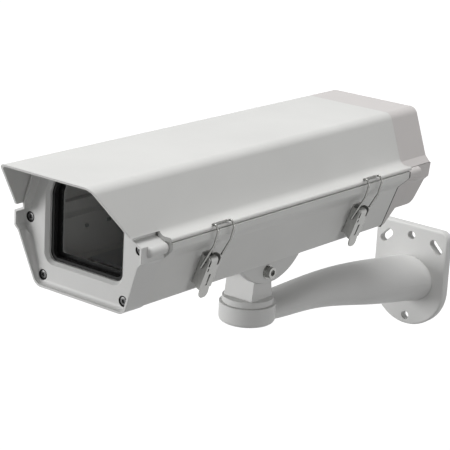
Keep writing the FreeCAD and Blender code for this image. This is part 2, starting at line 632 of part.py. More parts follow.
def build_bezel():
    part = new_body("front_bezel")
    along_y = V(0, 1, 0)
    pad(part, "XZ_Plane", "tray_front", "bezel_front - tray_front", [bezel_outline()])
    dress(part, "Fillet", "bezel_corner",
          lambda edge, mid: runs_along(edge, along_y) and near(mid.z, s.bezel_base))
    dress(part, "Fillet", "cover_corner - cover_wall - hood_gap",
          lambda edge, mid: runs_along(edge, along_y) and near(mid.z, s.brow_level))
    for hand in ("1", "-1"):
        pad(part, "XZ_Plane", "lug_start", "bezel_front - lug_start", [lug_slope_corners(hand)])
    dress(part, "Fillet", "lug_round",
          lambda edge, mid: runs_along(edge, along_y) and near(abs(mid.x), s.side_half)
          and near(mid.z, s.side_level))
    dish = [(f"dish_{name}_half", f"dish_{name}_level") for name, _, _ in BEZEL_CORNERS]
    pocket(part, "XZ_Plane", "bezel_front", "bezel_front - face_station", [mirrored(dish)])
    dress(part, "Fillet", "bezel_corner - rim",
          lambda edge, mid: runs_along(edge, along_y) and near(mid.z, s.dish_foot_level))
    dress(part, "Fillet", "cove",
          lambda edge, mid: near(mid.y, -s.face_station) and mid.z < s.side_level)
    pocket(part, "YZ_Plane", "0", "3 * lug_half",
           [[("0 - bezel_front", "lug_low"), ("bezel_rake - bezel_front", "bezel_base"),
             ("bezel_rake - bezel_front", "bezel_base - 5"),
             ("0 - bezel_front - 5", "bezel_base - 5"), ("0 - bezel_front - 5", "lug_low")]],
           both=True)
    cavity = [("bezel_half - bezel_wall", "bezel_base + bezel_wall"),
              ("side_half - bezel_wall - 1", "side_level"),
              ("brow_half - bezel_wall - 1", "lug_low"),
              ("brow_half - bezel_wall - 1", "skirt_level"),
              ("brow_top_half - bezel_wall", "brow_level - bezel_wall")]
    pocket(part, "XZ_Plane", "tray_front", "face_station - face_thick - tray_front",
           [mirrored(cavity)], flipped=True)
    for hand in ("1", "-1"):
        pad(part, "XZ_Plane", "tray_front", "face_station - face_thick - tray_front + 1",
            [foot_block_corners(hand)])
    pocket(part, "XZ_Plane", "face_station", "face_thick + 1", [mirrored(WINDOW_CORNERS)])
    dress(part, "Fillet", "window_corner",
          lambda edge, mid: runs_along(edge, along_y) and at_window(mid))
    dress(part, "Chamfer", "window_bevel",
          lambda edge, mid: near(mid.y, -s.face_station) and at_window(mid)
          and not runs_along(edge, along_y))
    screw_cells = [(across, along, "counterbore_radius") for across, along, _ in CASE_SCREW_CELLS]
    pocket(part, "XZ_Plane", "bezel_front",
           "bezel_front - face_station + case_head_height + 0.4", circles=screw_cells)
    pocket(part, "XZ_Plane", "face_station", "face_station - tray_front + 1",
           circles=CASE_SCREW_CELLS)
    part.Label = "bezel_casting"
    return with_bumps("front_bezel", part, s.lug_start, s.bump_front)


def case_screws(label, seat, head_way, reach):
    """Four case screws; the heads stand off the seat by head_way, the shanks run the other way."""
    screws = []
    for across, level in case_screw_places():
        foot = station_point(across, seat, level)
        top = station_point(across, seat + head_way * s.case_head_height, level)
        tip = station_point(across, seat - head_way * reach, level)
        head = rod(s.case_head_radius, foot, top)
        slot = hex_bar(2.4, top + (foot - top) * 0.6, top + (top - foot) * 0.2)
        screws.append(join([head, rod(s.case_screw_radius, tip, foot)]).cut(slot))
    add_feature(label, Part.makeCompound(screws))


# Glazing, from outlines that follow the window
def window_face(inset, corner, station):
    """Face with the window's outline, drawn in by an inset, with round corners."""
    outline = [(s.window_half, s.window_low), (s.window_half, s.window_shoulder),
               (s.window_top_half, s.window_high)]
    points = [station_point(across, station, level) for across, level in outline]
    points += [station_point(-across, station, level) for across, level in reversed(outline)]
    wire = Part.makePolygon(points + points[:1])
    small = wire.makeOffset2D(-(inset + corner), join=2)
    return Part.Face(small.makeOffset2D(corner, join=0))


def window_ring(outer, inner, start, end):
    """Ring between two insets, from one station to another."""
    run = V(0, start - end, 0)
    outside = window_face(outer, max(s.window_corner - outer, 1.0), start).extrude(run)
    inside = window_face(inner, s.window_corner - 1.5, start).extrude(run)
    return outside.cut(inside)


def build_glazing():
    back = s.face_station - s.face_thick
    web = back - s.gasket_web
    glass_rear = web - s.glass_thick
    clamp_rear = glass_rear - s.clamp_thick
    lap = s.glass_lap
    lip = window_ring(s.gasket_fit, s.gasket_band, back, back + s.gasket_proud)
    flange = window_ring(-lap, s.gasket_band, web, back)
    add_feature("window_gasket", join([flange, lip]))
    glass = window_face(-lap, s.window_corner + lap, glass_rear)
    add_feature("window_glass", glass.extrude(V(0, -s.glass_thick, 0)))
    frame = window_ring(-lap - 1, s.clamp_width - lap - 1, clamp_rear, glass_rear)
    places = [(hand * (s.window_half + lap + s.clamp_screw_radius + 1), level)
              for hand in (1, -1) for level in (s.window_low + 8, s.window_shoulder - 8)]
    tabs, screws, drills = [], [], []
    for across, level in places:
        foot = station_point(across, clamp_rear, level)
        top = station_point(across, glass_rear, level)
        tip = station_point(across, back, level)
        tabs.append(rod(s.clamp_tab_radius, foot, top))
        drills.append(rod(s.clamp_screw_radius, foot, tip))
        head = rod(s.clamp_screw_radius + 1.3, foot + V(0, 2, 0), foot)
        screws.append(join([head, drills[-1]]))
    add_feature("window_clamp", join([frame] + tabs).cut(drills))
    add_feature("clamp_screws", Part.makeCompound(screws))


def build_seal():
    strips = []
    for hand in (1, -1):
        corner = V(hand * s.groove_half - s.groove_width / 2 + 0.1, -s.tray_front,
                   s.seam_level - s.groove_depth)
        strips.append(Part.makeBox(s.groove_width - 0.2, s.tray_front - s.tray_rear,
                                   s.groove_depth, corner))
    add_feature("cover_seal", Part.makeCompound(strips))


# Cover with its hood, one folded and flared shell
def cover_outer_corners():
    return [("cover_half", "cover_top"), ("flare_half", "flange_high"),
            ("flange_half", "flange_high"), ("flange_half", "flange_low")]


def dress_cover_outside(part):
    along = V(0, 1, 0)
    dress(part, "Fillet", "cover_corner",
          lambda edge, mid: runs_along(edge, along) and near(mid.z, s.cover_top))
    dress(part, "Fillet", "flare_radius",
          lambda edge, mid: runs_along(edge, along) and near(mid.z, s.flange_high)
          and near(abs(mid.x), s.flare_half))
    dress(part, "Fillet", "bead_radius - 0.05",
          lambda edge, mid: runs_along(edge, along) and near(abs(mid.x), s.flange_half))


def cap_screw_places():
    """Where the four screws of the cover's end cap run, as half width and level."""
    low = s.flange_high + 6.0
    reach = (s.cover_wall + s.boss_radius - s.boss_bite) / math.cos(cover_lean)
    return [(s.ceiling_half - s.boss_inset, s.ceiling_level - s.boss_below),
            (cover_x(low) - reach, low)]


def build_cover():
    part = new_body("cover_shell")
    inner = [("flange_inner", "flange_low"), ("throat_half", "flange_high"),
             ("ceiling_half", "ceiling_level")]
    pad(part, "XZ_Plane", "cover_rear", "hood_top_station - cover_rear",
        [mirrored(cover_outer_corners() + inner)])
    dress_cover_outside(part)
    dress(part, "Fillet", "cover_corner - cover_wall",
          lambda edge, mid: runs_along(edge, V(0, 1, 0)) and near(mid.z, s.ceiling_level)
          and near(abs(mid.x), s.ceiling_half))
    pocket(part, "YZ_Plane", "0", "3 * flange_half",
           [[("0 - flange_front", "seam_level - 2"), ("0 - flange_front", "skirt_level"),
             ("0 - hood_low_station", "skirt_level"), ("0 - hood_top_station", "cover_top"),
             ("0 - hood_top_station", "cover_top + 5"),
             ("0 - hood_top_station - 5", "cover_top + 5"),
             ("0 - hood_top_station - 5", "seam_level - 2")]], both=True)
    return part


def build_cover_bosses(shell):
    """The cover gets four screw bosses at its rear end."""
    bosses = []
    for across, level in cap_screw_places():
        for hand in (1, -1):
            start = station_point(hand * across, s.cover_rear, level)
            end = station_point(hand * across, s.cover_rear + 20, level)
            bosses.append(rod(s.boss_radius, start, end))
    block = doc.addObject("Part::Feature", "cover_boss_rods")
    block.Shape = Part.makeCompound(bosses)
    keep = doc.addObject("Part::Feature", "cover_inside")
    keep.Shape = Part.makeBox(2 * s.flange_half, 30, s.ceiling_level + 1 - s.flange_high,
                              V(-s.flange_half, -s.cover_rear - 30, s.flange_high))
    trimmed = doc.addObject("Part::Common", "cover_bosses")
    trimmed.Base = block
    trimmed.Tool = keep
    whole = doc.addObject("Part::Fuse", "cover_whole")
    whole.Base = shell
    whole.Tool = trimmed
    doc.recompute()
    return whole


def drilled(label, base, tools):
    """Sub-part with straight holes cut by the given tool solids."""
    drills = doc.addObject("Part::Feature", f"{label}_drills")
    drills.Shape = Part.makeCompound(tools)
    item = doc.addObject("Part::Cut", label)
    item.Base = base
    item.Tool = drills
    item.Label = label
    doc.recompute()
    return item


def with_bumps(label, part, start, end):
    """Sub-part with the half-round ribs of its lugs, rounded where they end in the open."""
    ribs = []
    for hand in (1, -1):
        foot = station_point(hand * s.bump_half, start, s.bump_level)
        tip = station_point(hand * s.bump_half, end, s.bump_level)
        rib = rod(s.bump_radius, foot, tip)
        rim = [edge for edge in rib.Edges
               if edge.Curve.TypeId == "Part::GeomCircle" and near(middle(edge).y, tip.y)]
        rib = rib.makeFillet(s.bump_round, rim)
        inner = Part.makeBox(2 * s.lug_half - 1.2, 3 * s.bezel_front, 4 * s.bump_radius,
                             V(0.6 - s.lug_half, -2 * s.bezel_front,
                               s.bump_level - 2 * s.bump_radius))
        ribs.append(rib.cut(inner))
    pair = doc.addObject("Part::Feature", f"{label}_ribs")
    pair.Shape = Part.makeCompound(ribs)
    whole = doc.addObject("Part::Fuse", label)
    whole.Base = part
    whole.Tool = pair
    whole.Label = label
    doc.recompute()
    return whole


def build_cover_end_cap():
    part = new_body("cover_end_cap")
    pad(part, "XZ_Plane", "end_station", "cover_rear - end_station",
        [mirrored([("cover_half", "cover_top"), ("crease_half", "crease_level"),
                   ("lug_half", "flange_low")])])
    dress(part, "Fillet", "cover_corner",
          lambda edge, mid: runs_along(edge, V(0, 1, 0)) and near(mid.z, s.cover_top))
    dress(part, "Fillet", "cap_round",
          lambda edge, mid: near(mid.y, -s.end_station) and mid.z > s.flange_low + 0.1)
    pocket(part, "XZ_Plane", "cover_rear", "cover_rear - end_station - cap_wall",
           [mirrored([("ceiling_half - 4", "ceiling_level - 1"),
                      ("throat_half - 1", "flange_high"),
                      ("flange_inner - 1", "flange_low - 3")])])
    columns = [station_point(hand * across, 0, level)
               for across, level in cap_screw_places() for hand in (1, -1)]
    front = V(0, -s.cover_rear, 0)
    inside = V(0, -s.end_station - 1, 0)
    tubes = doc.addObject("Part::Feature", "cap_tubes")
    tubes.Shape = Part.makeCompound([rod(s.counterbore_radius + 1, place + inside, place + front)
                                     for place in columns])
    whole = doc.addObject("Part::Fuse", "cap_whole")
    whole.Base = part
    whole.Tool = tubes
    part.Label = "cover_cap_casting"
    bores = [rod(s.case_screw_radius, place + front, place + V(0, 1, 0)) for place in columns]
    sinks = [rod(s.counterbore_radius, place + V(0, 4 - s.cover_rear, 0), place)
             for place in columns]
    cap = drilled("cover_end_cap", whole, bores + sinks)
    screws = []
    for place in columns:
        seat = place + V(0, 4 - s.cover_rear, 0)
        tip = place + V(0, -s.cover_rear - 14, 0)
        screws.append(join([rod(s.case_head_radius, seat, seat + V(0, s.case_head_height, 0)),
                            rod(s.case_screw_radius, tip, seat)]))
    add_feature("cover_cap_screws", Part.makeCompound(screws))
    return cap


def cover_screw_drills():
    """Threaded holes in the cover's bosses."""
    return [rod(s.case_screw_radius, station_point(hand * across, s.cover_rear - 1, level),
                station_point(hand * across, s.cover_rear + 16, level))
            for across, level in cap_screw_places() for hand in (1, -1)]


# Lower end cap, stepped at its foot, where the cable glands hang
def tray_outer_corners():
    return [("tray_half", "tray_base"), ("side_half", "side_level"),
            ("lip_bevel_half", "lip_bevel_level"), ("lip_half", "lip_low"),
            ("lip_half", "seam_level")]


def build_tray_end_cap():
    part = new_body("tray_end_cap")
    pad(part, "XZ_Plane", "end_station", "cap_front - end_station",
        [mirrored([("tray_half", "tray_base"), ("side_half", "side_level"),
                   ("lug_half", "lug_low"), ("lug_half", "seam_level")])])
    dress(part, "Fillet", "tray_corner",
          lambda edge, mid: runs_along(edge, V(0, 1, 0)) and near(mid.z, s.tray_base))
    dress(part, "Fillet", "lug_round",
          lambda edge, mid: runs_along(edge, V(0, 1, 0)) and near(abs(mid.x), s.side_half)
          and near(mid.z, s.side_level))
    pocket(part, "YZ_Plane", "0", "3 * lip_half",
           [[("0 - heel_station", "tray_base"), ("0 - step_station", "step_level"),
             ("0 - end_station - end_lean", "step_level"), ("0 - end_station", "seam_level"),
             ("5 - end_station", "seam_level"), ("5 - end_station", "tray_base - 5"),
             ("0 - heel_station", "tray_base - 5")]], both=True)
    dress(part, "Fillet", "end_round",
          lambda edge, mid: runs_along(edge, V(1, 0, 0)) and near(mid.z, s.step_level)
          and near(mid.y, -s.end_station - s.end_lean))
    pocket(part, "XZ_Plane", "cap_front",
           "cap_front - end_station - end_lean - cap_wall - 1",
           [mirrored([("tray_half + 4", "step_level + cap_wall"),
                      ("side_inner - 3", "side_level"), ("port_half - 3", "port_low"),
                      ("port_half - 3", "seam_level + 1")])])
    pocket(part, "XY_Plane", "step_level + cap_wall", "cap_wall + 1",
           circles=[(across, "0 - gland_station", "gland_radius")
                    for across in ("0", "gland_pitch", "0 - gland_pitch")])
    sinks = [(across, along, "counterbore_radius") for across, along, _ in CASE_SCREW_CELLS]
    pocket(part, "XZ_Plane", "heel_station - 2.1", "heel_station", circles=sinks)
    pocket(part, "XZ_Plane", "cap_front", "cap_front", circles=CASE_SCREW_CELLS)
    part.Label = "tray_cap_casting"
    return with_bumps("tray_end_cap", part, s.cap_front, s.bump_rear)


def build_cap_gasket():
    part = new_body("cap_gasket")
    inner = [("port_half", "seam_level"), ("port_half", "port_low"),
             ("side_inner", "side_level"), ("foot_port_edge", "foot_port_high"),
             ("foot_port_half", "foot_port_high"), ("foot_port_half", "floor_level")]
    pad(part, "XZ_Plane", "cap_front", "cap_gasket", [mirrored(tray_outer_corners() + inner)],
        CASE_SCREW_CELLS)
    dress(part, "Fillet", "side_round",
          lambda edge, mid: runs_along(edge, V(0, 1, 0)) and near(abs(mid.x), s.side_half)
          and near(mid.z, s.side_level))
    return part


def build_glands():
    """Three cable glands under the step: bodies, dome nuts, lock nuts and blanking plugs."""
    bodies, domes, locks, plugs = [], [], [], []
    up = V(0, 0, 1)
    under = s.step_level
    for across in (-s.gland_pitch, 0.0, s.gland_pitch):
        foot = station_point(across, s.gland_station, under)
        bore = rod(4.6, foot - up * 40, foot + up * 40)
        body = [rod(s.gland_radius, foot, foot + up * (s.cap_wall + 6.5)),
                hex_bar(s.gland_nut_across, foot - up * 4, foot),
                rod(7.2, foot - up * 10.5, foot - up * 4)]
        bodies.append(join(body).cut(bore))
        dome = hex_bar(s.gland_nut_across - 1, foot - up * 12, foot - up * 5)
        crown = Part.makeCone(6.0, 9.0, 4.0, foot - up * 16, up)
        domes.append(join([dome, crown]).cut([rod(7.2, foot - up * 10.5, foot), bore]))
        lock = hex_bar(19.0, foot + up * s.cap_wall, foot + up * (s.cap_wall + 4))
        locks.append(lock.cut(rod(s.gland_radius, foot, foot + up * 20)))
        plugs.append(rod(4.6, foot - up * 16.5, foot - up * 2))
    add_feature("gland_bodies", Part.makeCompound(bodies))
    add_feature("gland_nuts", Part.makeCompound(domes))
    add_feature("gland_locknuts", Part.makeCompound(locks))
    add_feature("gland_plugs", Part.makeCompound(plugs))


# Hinges on the -X side: bent leaves that follow the tray and the cover
def strip(points, thick):
    """Outline of a bent sheet: the given points and their mitred offsets to the left."""
    normals = []
    for start, end in zip(points, points[1:]):
        run = (end - start).normalize()
        normals.append(V(-run.z, 0, run.x))
    joints = [normals[0]] + [a + b for a, b in zip(normals, normals[1:])] + [normals[-1]]
    offsets = []
    for point, joint, normal in zip(points, joints, [normals[0]] + normals):
        direction = V(joint).normalize()
        offsets.append(point + direction * (thick / direction.dot(normal)))
    return points + offsets[::-1]


def bent_sheet(profile, thick, start, width):
    """Bent sheet from its side view, standing between two stations."""
    outline = [point + V(0, -start, 0) for point in strip(profile, thick)]
    return plate_from(outline, width, V(0, -1, 0))


def build_hinge(label, station):
    """One hinge: tray leaf with two knuckles, cover leaf with one between them."""
    length = s.hinge_length
    low = station - length / 2
    end_knuckle = length * 0.3
    axis = V(-s.hinge_x, 0, s.hinge_z)
    bend = V(-s.side_half, 0, s.side_level)
    foot = V(-side_x(112.0), 0, 112.0)
    bevel = V(-s.lip_bevel_half, 0, s.lip_bevel_level)
    tray_path = [foot, bend + (foot - bend).normalize() * 2.2,
                 bend + (bevel - bend).normalize() * 2.2, bevel, V(-s.lip_half, 0, s.lip_low)]
    rise = [tray_path[-1] + V(0, 0, -0.4), V(-s.lip_half, 0, s.hinge_z)]
    pieces = [bent_sheet(tray_path, s.leaf_thick, low, length)]
    for start in (low, low + length - end_knuckle):
        pieces.append(bent_sheet(rise, s.leaf_thick, start, end_knuckle))
        pieces.append(rod(s.knuckle_radius, axis + V(0, -start, 0),
                          axis + V(0, -start - end_knuckle, 0)))
    pin_ends = [axis + V(0, -low + 1.5, 0), axis + V(0, -low - length - 1.5, 0)]
    pin = rod(s.hinge_pin_radius, *pin_ends)
    add_feature(f"{label}_tray_leaf", join(pieces).cut([pin] + tray_leaf_drills(station)))
    middle_start = low + end_knuckle + s.knuckle_gap
    middle_width = length - 2 * (end_knuckle + s.knuckle_gap)
    cover_path = [V(-cover_x(157.0), 0, 157.0), V(-cover_x(177.0), 0, 177.0)]
    tongue = [V(1.2 - s.hinge_x, 0, s.hinge_z + s.knuckle_radius - 1.8), cover_path[0]]
    body = [bent_sheet(cover_path, s.leaf_thick, low, length),
            bent_sheet(tongue, s.leaf_thick, middle_start, middle_width),
            rod(s.knuckle_radius, axis + V(0, -middle_start, 0),
                axis + V(0, -middle_start - middle_width, 0))]
    bore = rod(s.hinge_pin_radius + s.hinge_fit, *pin_ends)
    add_feature(f"{label}_cover_leaf", join(body).cut([bore] + cover_leaf_drills(station)))
    return pin


def leaf_screw(foot, outward):
    """Button head screw in a leaf; the foot lies on the leaf's inner face."""
    seat = foot + outward * s.leaf_thick
    return join([rod(s.rivet_radius, foot - outward * 4.5, seat),
                 rod(3.0, seat, seat + outward * 1.5)])


def tray_leaf_feet(station):
    level = 119.0
    return [V(-side_x(level), -station + way * 13, level) for way in (-1, 1)]


def cover_leaf_feet(station):
    level = 169.0
    return [V(-cover_x(level), -station + way * 13, level) for way in (-1, 1)]


TRAY_OUT = V(-math.cos(lean), 0, -math.sin(lean))
COVER_OUT = V(-math.cos(cover_lean), 0, math.sin(cover_lean))


def tray_leaf_drills(station):
    return [rod(s.rivet_radius, foot - TRAY_OUT * 4.5, foot + TRAY_OUT * 4)
            for foot in tray_leaf_feet(station)]


def cover_leaf_drills(station):
    return [rod(s.rivet_radius, foot - COVER_OUT * 4.5, foot + COVER_OUT * 4)
            for foot in cover_leaf_feet(station)]


# Draw latches on the +X side, each in a frame that leans with the tray's side
def latch_frame(station):
    """Frame with X out of the tray's side, Z up along it and Y along the tray."""
    return FreeCAD.Placement(station_point(s.side_half, station, s.side_level),
                             FreeCAD.Rotation(V(0, 1, 0), s.side_degrees))


def flat_plate(outline, start, thick):
    """Plate in the latch's side view, from one Y to the next."""
    return plate_from([V(out, start, up) for out, up in outline], thick, V(0, 1, 0))


def both_sides(make, inner, thick):
    """The same plate on both sides of the latch."""
    return [make(inner, thick), make(-inner - thick, thick)]


def pivot():
    return V(s.pivot_out, 0, -s.pivot_down)


def y_rod(radius, place, half):
    return rod(radius, place + V(0, -half, 0), place + V(0, half, 0))


def latch_base_shape():
    back = Part.makeBox(s.base_plate, 2 * s.base_half, s.base_length,
                        V(0, -s.base_half, -s.base_length - 4))
    down = s.pivot_down
    cheek = [(0, -15.0), (0, 2.1 - down), (s.pivot_out, 1.9 - down),
             (s.pivot_out + 1.4, 1.1 - down), (s.pivot_out + 1.4, -1.7 - down),
             (s.pivot_out, -2.3 - down)]
    inner = s.base_half - s.lug_thick
    lugs = both_sides(lambda start, thick: flat_plate(cheek, start, thick), inner, s.lug_thick)
    holes = [y_rod(s.latch_pin_radius, pivot(), 20)]
    holes += [rod(s.rivet_radius, V(-1, 0, -down), V(4, 0, -down)) for down in (18.0, 29.0)]
    return join([back] + lugs).cut(holes)


def rivet_shapes():
    shapes = []
    for down in (18.0, 29.0):
        tail = rod(2.4, V(-s.tray_wall - 1.4, 0, -down), V(-s.tray_wall - 0.02, 0, -down))
        shank = rod(s.rivet_radius, V(-s.tray_wall - 0.02, 0, -down), V(s.base_plate, 0, -down))
        head = rod(2.9, V(s.base_plate, 0, -down), V(s.base_plate + 1.2, 0, -down))
        shapes.append(join([tail, shank, head]))
    return shapes


def latch_lever_shape():
    face, sheet_thick, length = s.lever_face, s.lever_sheet, s.lever_length
    side = [(2.0, -s.lever_top - 2.2), (4.4, -s.lever_top - 0.4), (face - 1.4, -s.lever_top),
            (face, -s.lever_top - 1.6), (face, -length), (face - 2, -length),
            (1.6, 3 - length)]
    inner = s.lever_half - sheet_thick
    pieces = both_sides(lambda start, thick: flat_plate(side, start, thick), inner, sheet_thick)
    pieces.append(Part.makeBox(sheet_thick, 2 * s.lever_half, length - s.face_top,
                               V(face - sheet_thick, -s.lever_half, -length)))
    pieces.append(Part.makeBox(sheet_thick, 2 * s.barrel_half, s.face_top - s.pivot_down + 1,
                               V(face - sheet_thick, -s.barrel_half, -s.face_top - 1)))
    pieces.append(y_rod(s.barrel_radius, pivot(), s.barrel_half))
    bend = V(face - sheet_thick, 0, -length)
    tab_angle = math.radians(s.tab_degrees)
    slope = V(math.sin(tab_angle), 0, -math.cos(tab_angle))
    rise = V(math.cos(tab_angle), 0, math.sin(tab_angle))
    tab_half = s.lever_half - 1.8
    start = bend + V(0, -tab_half, 0.4)
    tab = plate_from([start, start + slope * s.tab_length,
                      start + slope * s.tab_length + rise * sheet_thick,
                      start + rise * sheet_thick], 2 * tab_half, V(0, 1, 0))
    tip = bend + slope * s.tab_length
    rounding = rod(tab_half, tip - slope * tab_half - rise * 2,
                   tip - slope * tab_half + rise * 4)
    keep = join([rounding, plate_from([bend - rise * 4 + V(0, -9, 0) - slope * 9,
                                       bend - rise * 4 + V(0, -9, 0) + slope
                                       * (s.tab_length - tab_half),
                                       bend + rise * 5 + V(0, -9, 0) + slope
                                       * (s.tab_length - tab_half),
                                       bend + rise * 5 + V(0, -9, 0) - slope * 9],
                                      18, V(0, 1, 0))])
    pieces.append(tab.common(keep))
    holes = [y_rod(s.latch_pin_radius + s.latch_fit, pivot(), 20),
             y_rod(s.wire_radius + s.latch_fit, V(s.bail_out, 0, -s.bail_down), 20)]
    for low, high, start, width in ((31.0, 20.0, -1.1, 2.2), (16.8, 13.8, -5.2, 1.6)):
        holes.append(Part.makeBox(6, width, low - high, V(face - 3, start, -low)))
    return join(pieces).cut(holes)


def wire_path(points, radius):
    """Wire of straight runs; its square corners are rounded and its gentle bends mitred."""
    edges = []
    start = points[0]
    for before, corner, after in zip(points, points[1:], points[2:]):
        come = (corner - before).normalize()
        go = (after - corner).normalize()
        turn = come.getAngle(go)
        if turn < math.radians(60):
            edges.append(Part.LineSegment(start, corner).toShape())
            start = corner
            continue
        trim = radius * math.tan(turn / 2)
        centre = corner + (go - come).normalize() * (radius / math.cos(turn / 2))
        crest = centre - (go - come).normalize() * radius
        enter = corner - come * trim
        leave = corner + go * trim
        edges.append(Part.LineSegment(start, enter).toShape())
        edges.append(Part.Arc(enter, crest, leave).toShape())
        start = leave
    edges.append(Part.LineSegment(start, points[-1]).toShape())
    return Part.Wire(edges)


def latch_bail_shape(station):
    """Wire bail from the lever's two side holes up and over the cover's bead."""
    reach = s.bead_radius + s.wire_radius + s.hook_gap
    angle = math.radians(s.hook_degrees)
    bead = V(s.bead_half, 0, s.bead_level)
    hook = [bead + V(reach * math.cos(angle), 0, reach * math.sin(angle)),
            bead + V(s.bead_radius + 3.0, 0, s.bead_radius + 2.2),
            bead + V(s.bead_radius + 5.8, 0, s.bead_radius - 2.4),
            V(s.lip_half + 2.0, 0, s.lip_low - 4.6)]
    frame = latch_frame(0.0).inverse()
    side_view = [frame.multVec(point) for point in hook]
    side_view = [V(point.x, 0, point.z) for point in side_view]
    hole = V(s.bail_out, 0, -s.bail_down)
    leg = side_view + [hole]
    tip = V(0, s.lever_half - s.lever_sheet + 0.2, 0)
    wide = V(0, s.bail_half, 0)
    points = [hole - tip, hole - wide] + [point - wide for point in leg[-2::-1]]
    points += [point + wide for point in leg[:-1]] + [hole + wide, hole + tip]
    path = wire_path(points, s.wire_bend)
    ring = Part.Wire(Part.Circle(points[0], points[1] - points[0], s.wire_radius).toShape())
    return path.makePipeShell([ring], True, False, 1)


def build_latch(label, station):
    frame = latch_frame(station)
    add_feature(f"{label}_base", latch_base_shape(), frame)
    add_feature(f"{label}_lever", latch_lever_shape(), frame)
    add_feature(f"{label}_bail", latch_bail_shape(station), frame)
    add_feature(f"{label}_pin", y_rod(s.latch_pin_radius, pivot(), s.lever_half + 0.6), frame)
    return [shape.transformed(frame.toMatrix()) for shape in rivet_shapes()]


# Camera sled on the tray's rails
def long_slot(radius, run, station, low, high):
    """Tool for a slot along the tray, centred at a station on the middle line."""
    ends = [station_point(0, station + way * run / 2, low) for way in (-1, 1)]
    web = Part.makeBox(2 * radius, run, high - low, ends[1] + V(-radius, 0, 0))
    return join([rod(radius, end, end + V(0, 0, high - low)) for end in ends] + [web])


def build_sled():
    low, thick = s.sled_low, s.sled_thick
    plate = Part.makeBox(2 * s.sled_half, s.sled_front - s.sled_rear, thick,
                         station_point(-s.sled_half, s.sled_front, low))
    stud_stations = [s.sled_rear + 35, s.sled_front - 35]
    camera = (s.sled_rear + s.sled_front) / 2
    slots = [long_slot(s.stud_radius + 0.3, s.sled_slot_run, station, low - 1, low + 4)
             for station in stud_stations]
    slots.append(long_slot(s.camera_screw_radius + 0.1, s.camera_slot_run, camera,
                           low - 1, low + 4))
    add_feature("camera_sled", plate.cut(slots))
    up = V(0, 0, 1)
    place = station_point(0, camera, low)
    knob = rod(8.0, place - up * 4, place)
    add_feature("camera_screw", join([knob, rod(s.camera_screw_radius, place,
                                                place + up * (thick + 6))]))
    studs, knobs = [], []
    for station in stud_stations:
        foot = station_point(0, station, s.floor_level)
        seat = station_point(0, station, low + thick + s.sled_lift)
        stud = rod(s.stud_radius, foot, seat + up * (s.thumb_height + 2))
        studs.append(stud)
        knobs.append(rod(s.thumb_radius, seat, seat + up * s.thumb_height).cut(stud))
    add_feature("sled_studs", Part.makeCompound(studs))
    add_feature("thumb_nuts", Part.makeCompound(knobs))
    foot = station_point(18, s.tray_rear + 18, s.floor_level)
    washer = rod(5.0, foot, foot + up * 1.0)
    head = rod(3.6, foot + up * 1.0, foot + up * 3.4)
    slot = Part.makeBox(8, 1.0, 2, foot + V(-4, -0.5, 2.2))
    add_feature("earth_screw", join([washer, head]).cut(slot))


build_wall_arm()
build_swivel_head()
build_pan_bolt()
build_saddle()
build_tilt_bolt()
build_saddle_screws()
tray = build_tray()
build_bezel()
case_screws("bezel_screws", s.face_station - s.case_head_height - 0.4, 1,
            s.face_station - s.tray_front + 14)
build_glazing()
build_seal()
cover = build_cover_bosses(build_cover())
build_cover_end_cap()
build_tray_end_cap()
case_screws("tray_cap_screws", s.heel_station - 2.1, -1, 18)
build_cap_gasket()
build_glands()

HINGES = (("front_hinge", s.hinge_front), ("rear_hinge", s.hinge_rear))
LATCHES = (("front_latch", s.latch_front), ("rear_latch", s.latch_rear))
pins = [build_hinge(label, station) for label, station in HINGES]
add_feature("hinge_pins", Part.makeCompound(pins))
tray_feet = [foot for _, station in HINGES for foot in tray_leaf_feet(station)]
cover_feet = [foot for _, station in HINGES for foot in cover_leaf_feet(station)]
add_feature("hinge_tray_screws", Part.makeCompound([leaf_screw(foot, TRAY_OUT)
                                                    for foot in tray_feet]))
add_feature("hinge_cover_screws", Part.makeCompound([leaf_screw(foot, COVER_OUT)
                                                     for foot in cover_feet]))
rivets = [rivet for label, station in LATCHES for rivet in build_latch(label, station)]
add_feature("latch_rivets", Part.makeCompound(rivets))
build_sled()

tray_tools = [tool for _, station in HINGES for tool in tray_leaf_drills(station)] + rivets
drilled("base_tray", tray, tray_tools)
cover_tools = [tool for _, station in HINGES for tool in cover_leaf_drills(station)]
drilled("top_cover", cover, cover_tools + cover_screw_drills())

SUB_PARTS = (
    "wall_arm", "swivel_head", "pan_bolt", "pan_washer", "tilt_saddle", "tilt_bolt",
    "tilt_washers", "spring_washer", "tilt_nut", "saddle_screws", "base_tray", "front_bezel",
    "bezel_screws", "window_gasket", "window_glass", "window_clamp", "clamp_screws",
    "cover_seal", "top_cover", "cover_end_cap", "cover_cap_screws", "tray_end_cap",
    "tray_cap_screws", "cap_gasket", "gland_bodies", "gland_nuts", "gland_locknuts",
    "gland_plugs", "front_hinge_tray_leaf", "front_hinge_cover_leaf", "rear_hinge_tray_leaf",
    "rear_hinge_cover_leaf", "hinge_pins", "hinge_tray_screws", "hinge_cover_screws",
    "front_latch_base", "front_latch_lever", "front_latch_bail", "front_latch_pin",
    "rear_latch_base", "rear_latch_lever", "rear_latch_bail", "rear_latch_pin",
    "latch_rivets", "camera_sled", "camera_screw", "sled_studs", "thumb_nuts", "earth_screw",
)

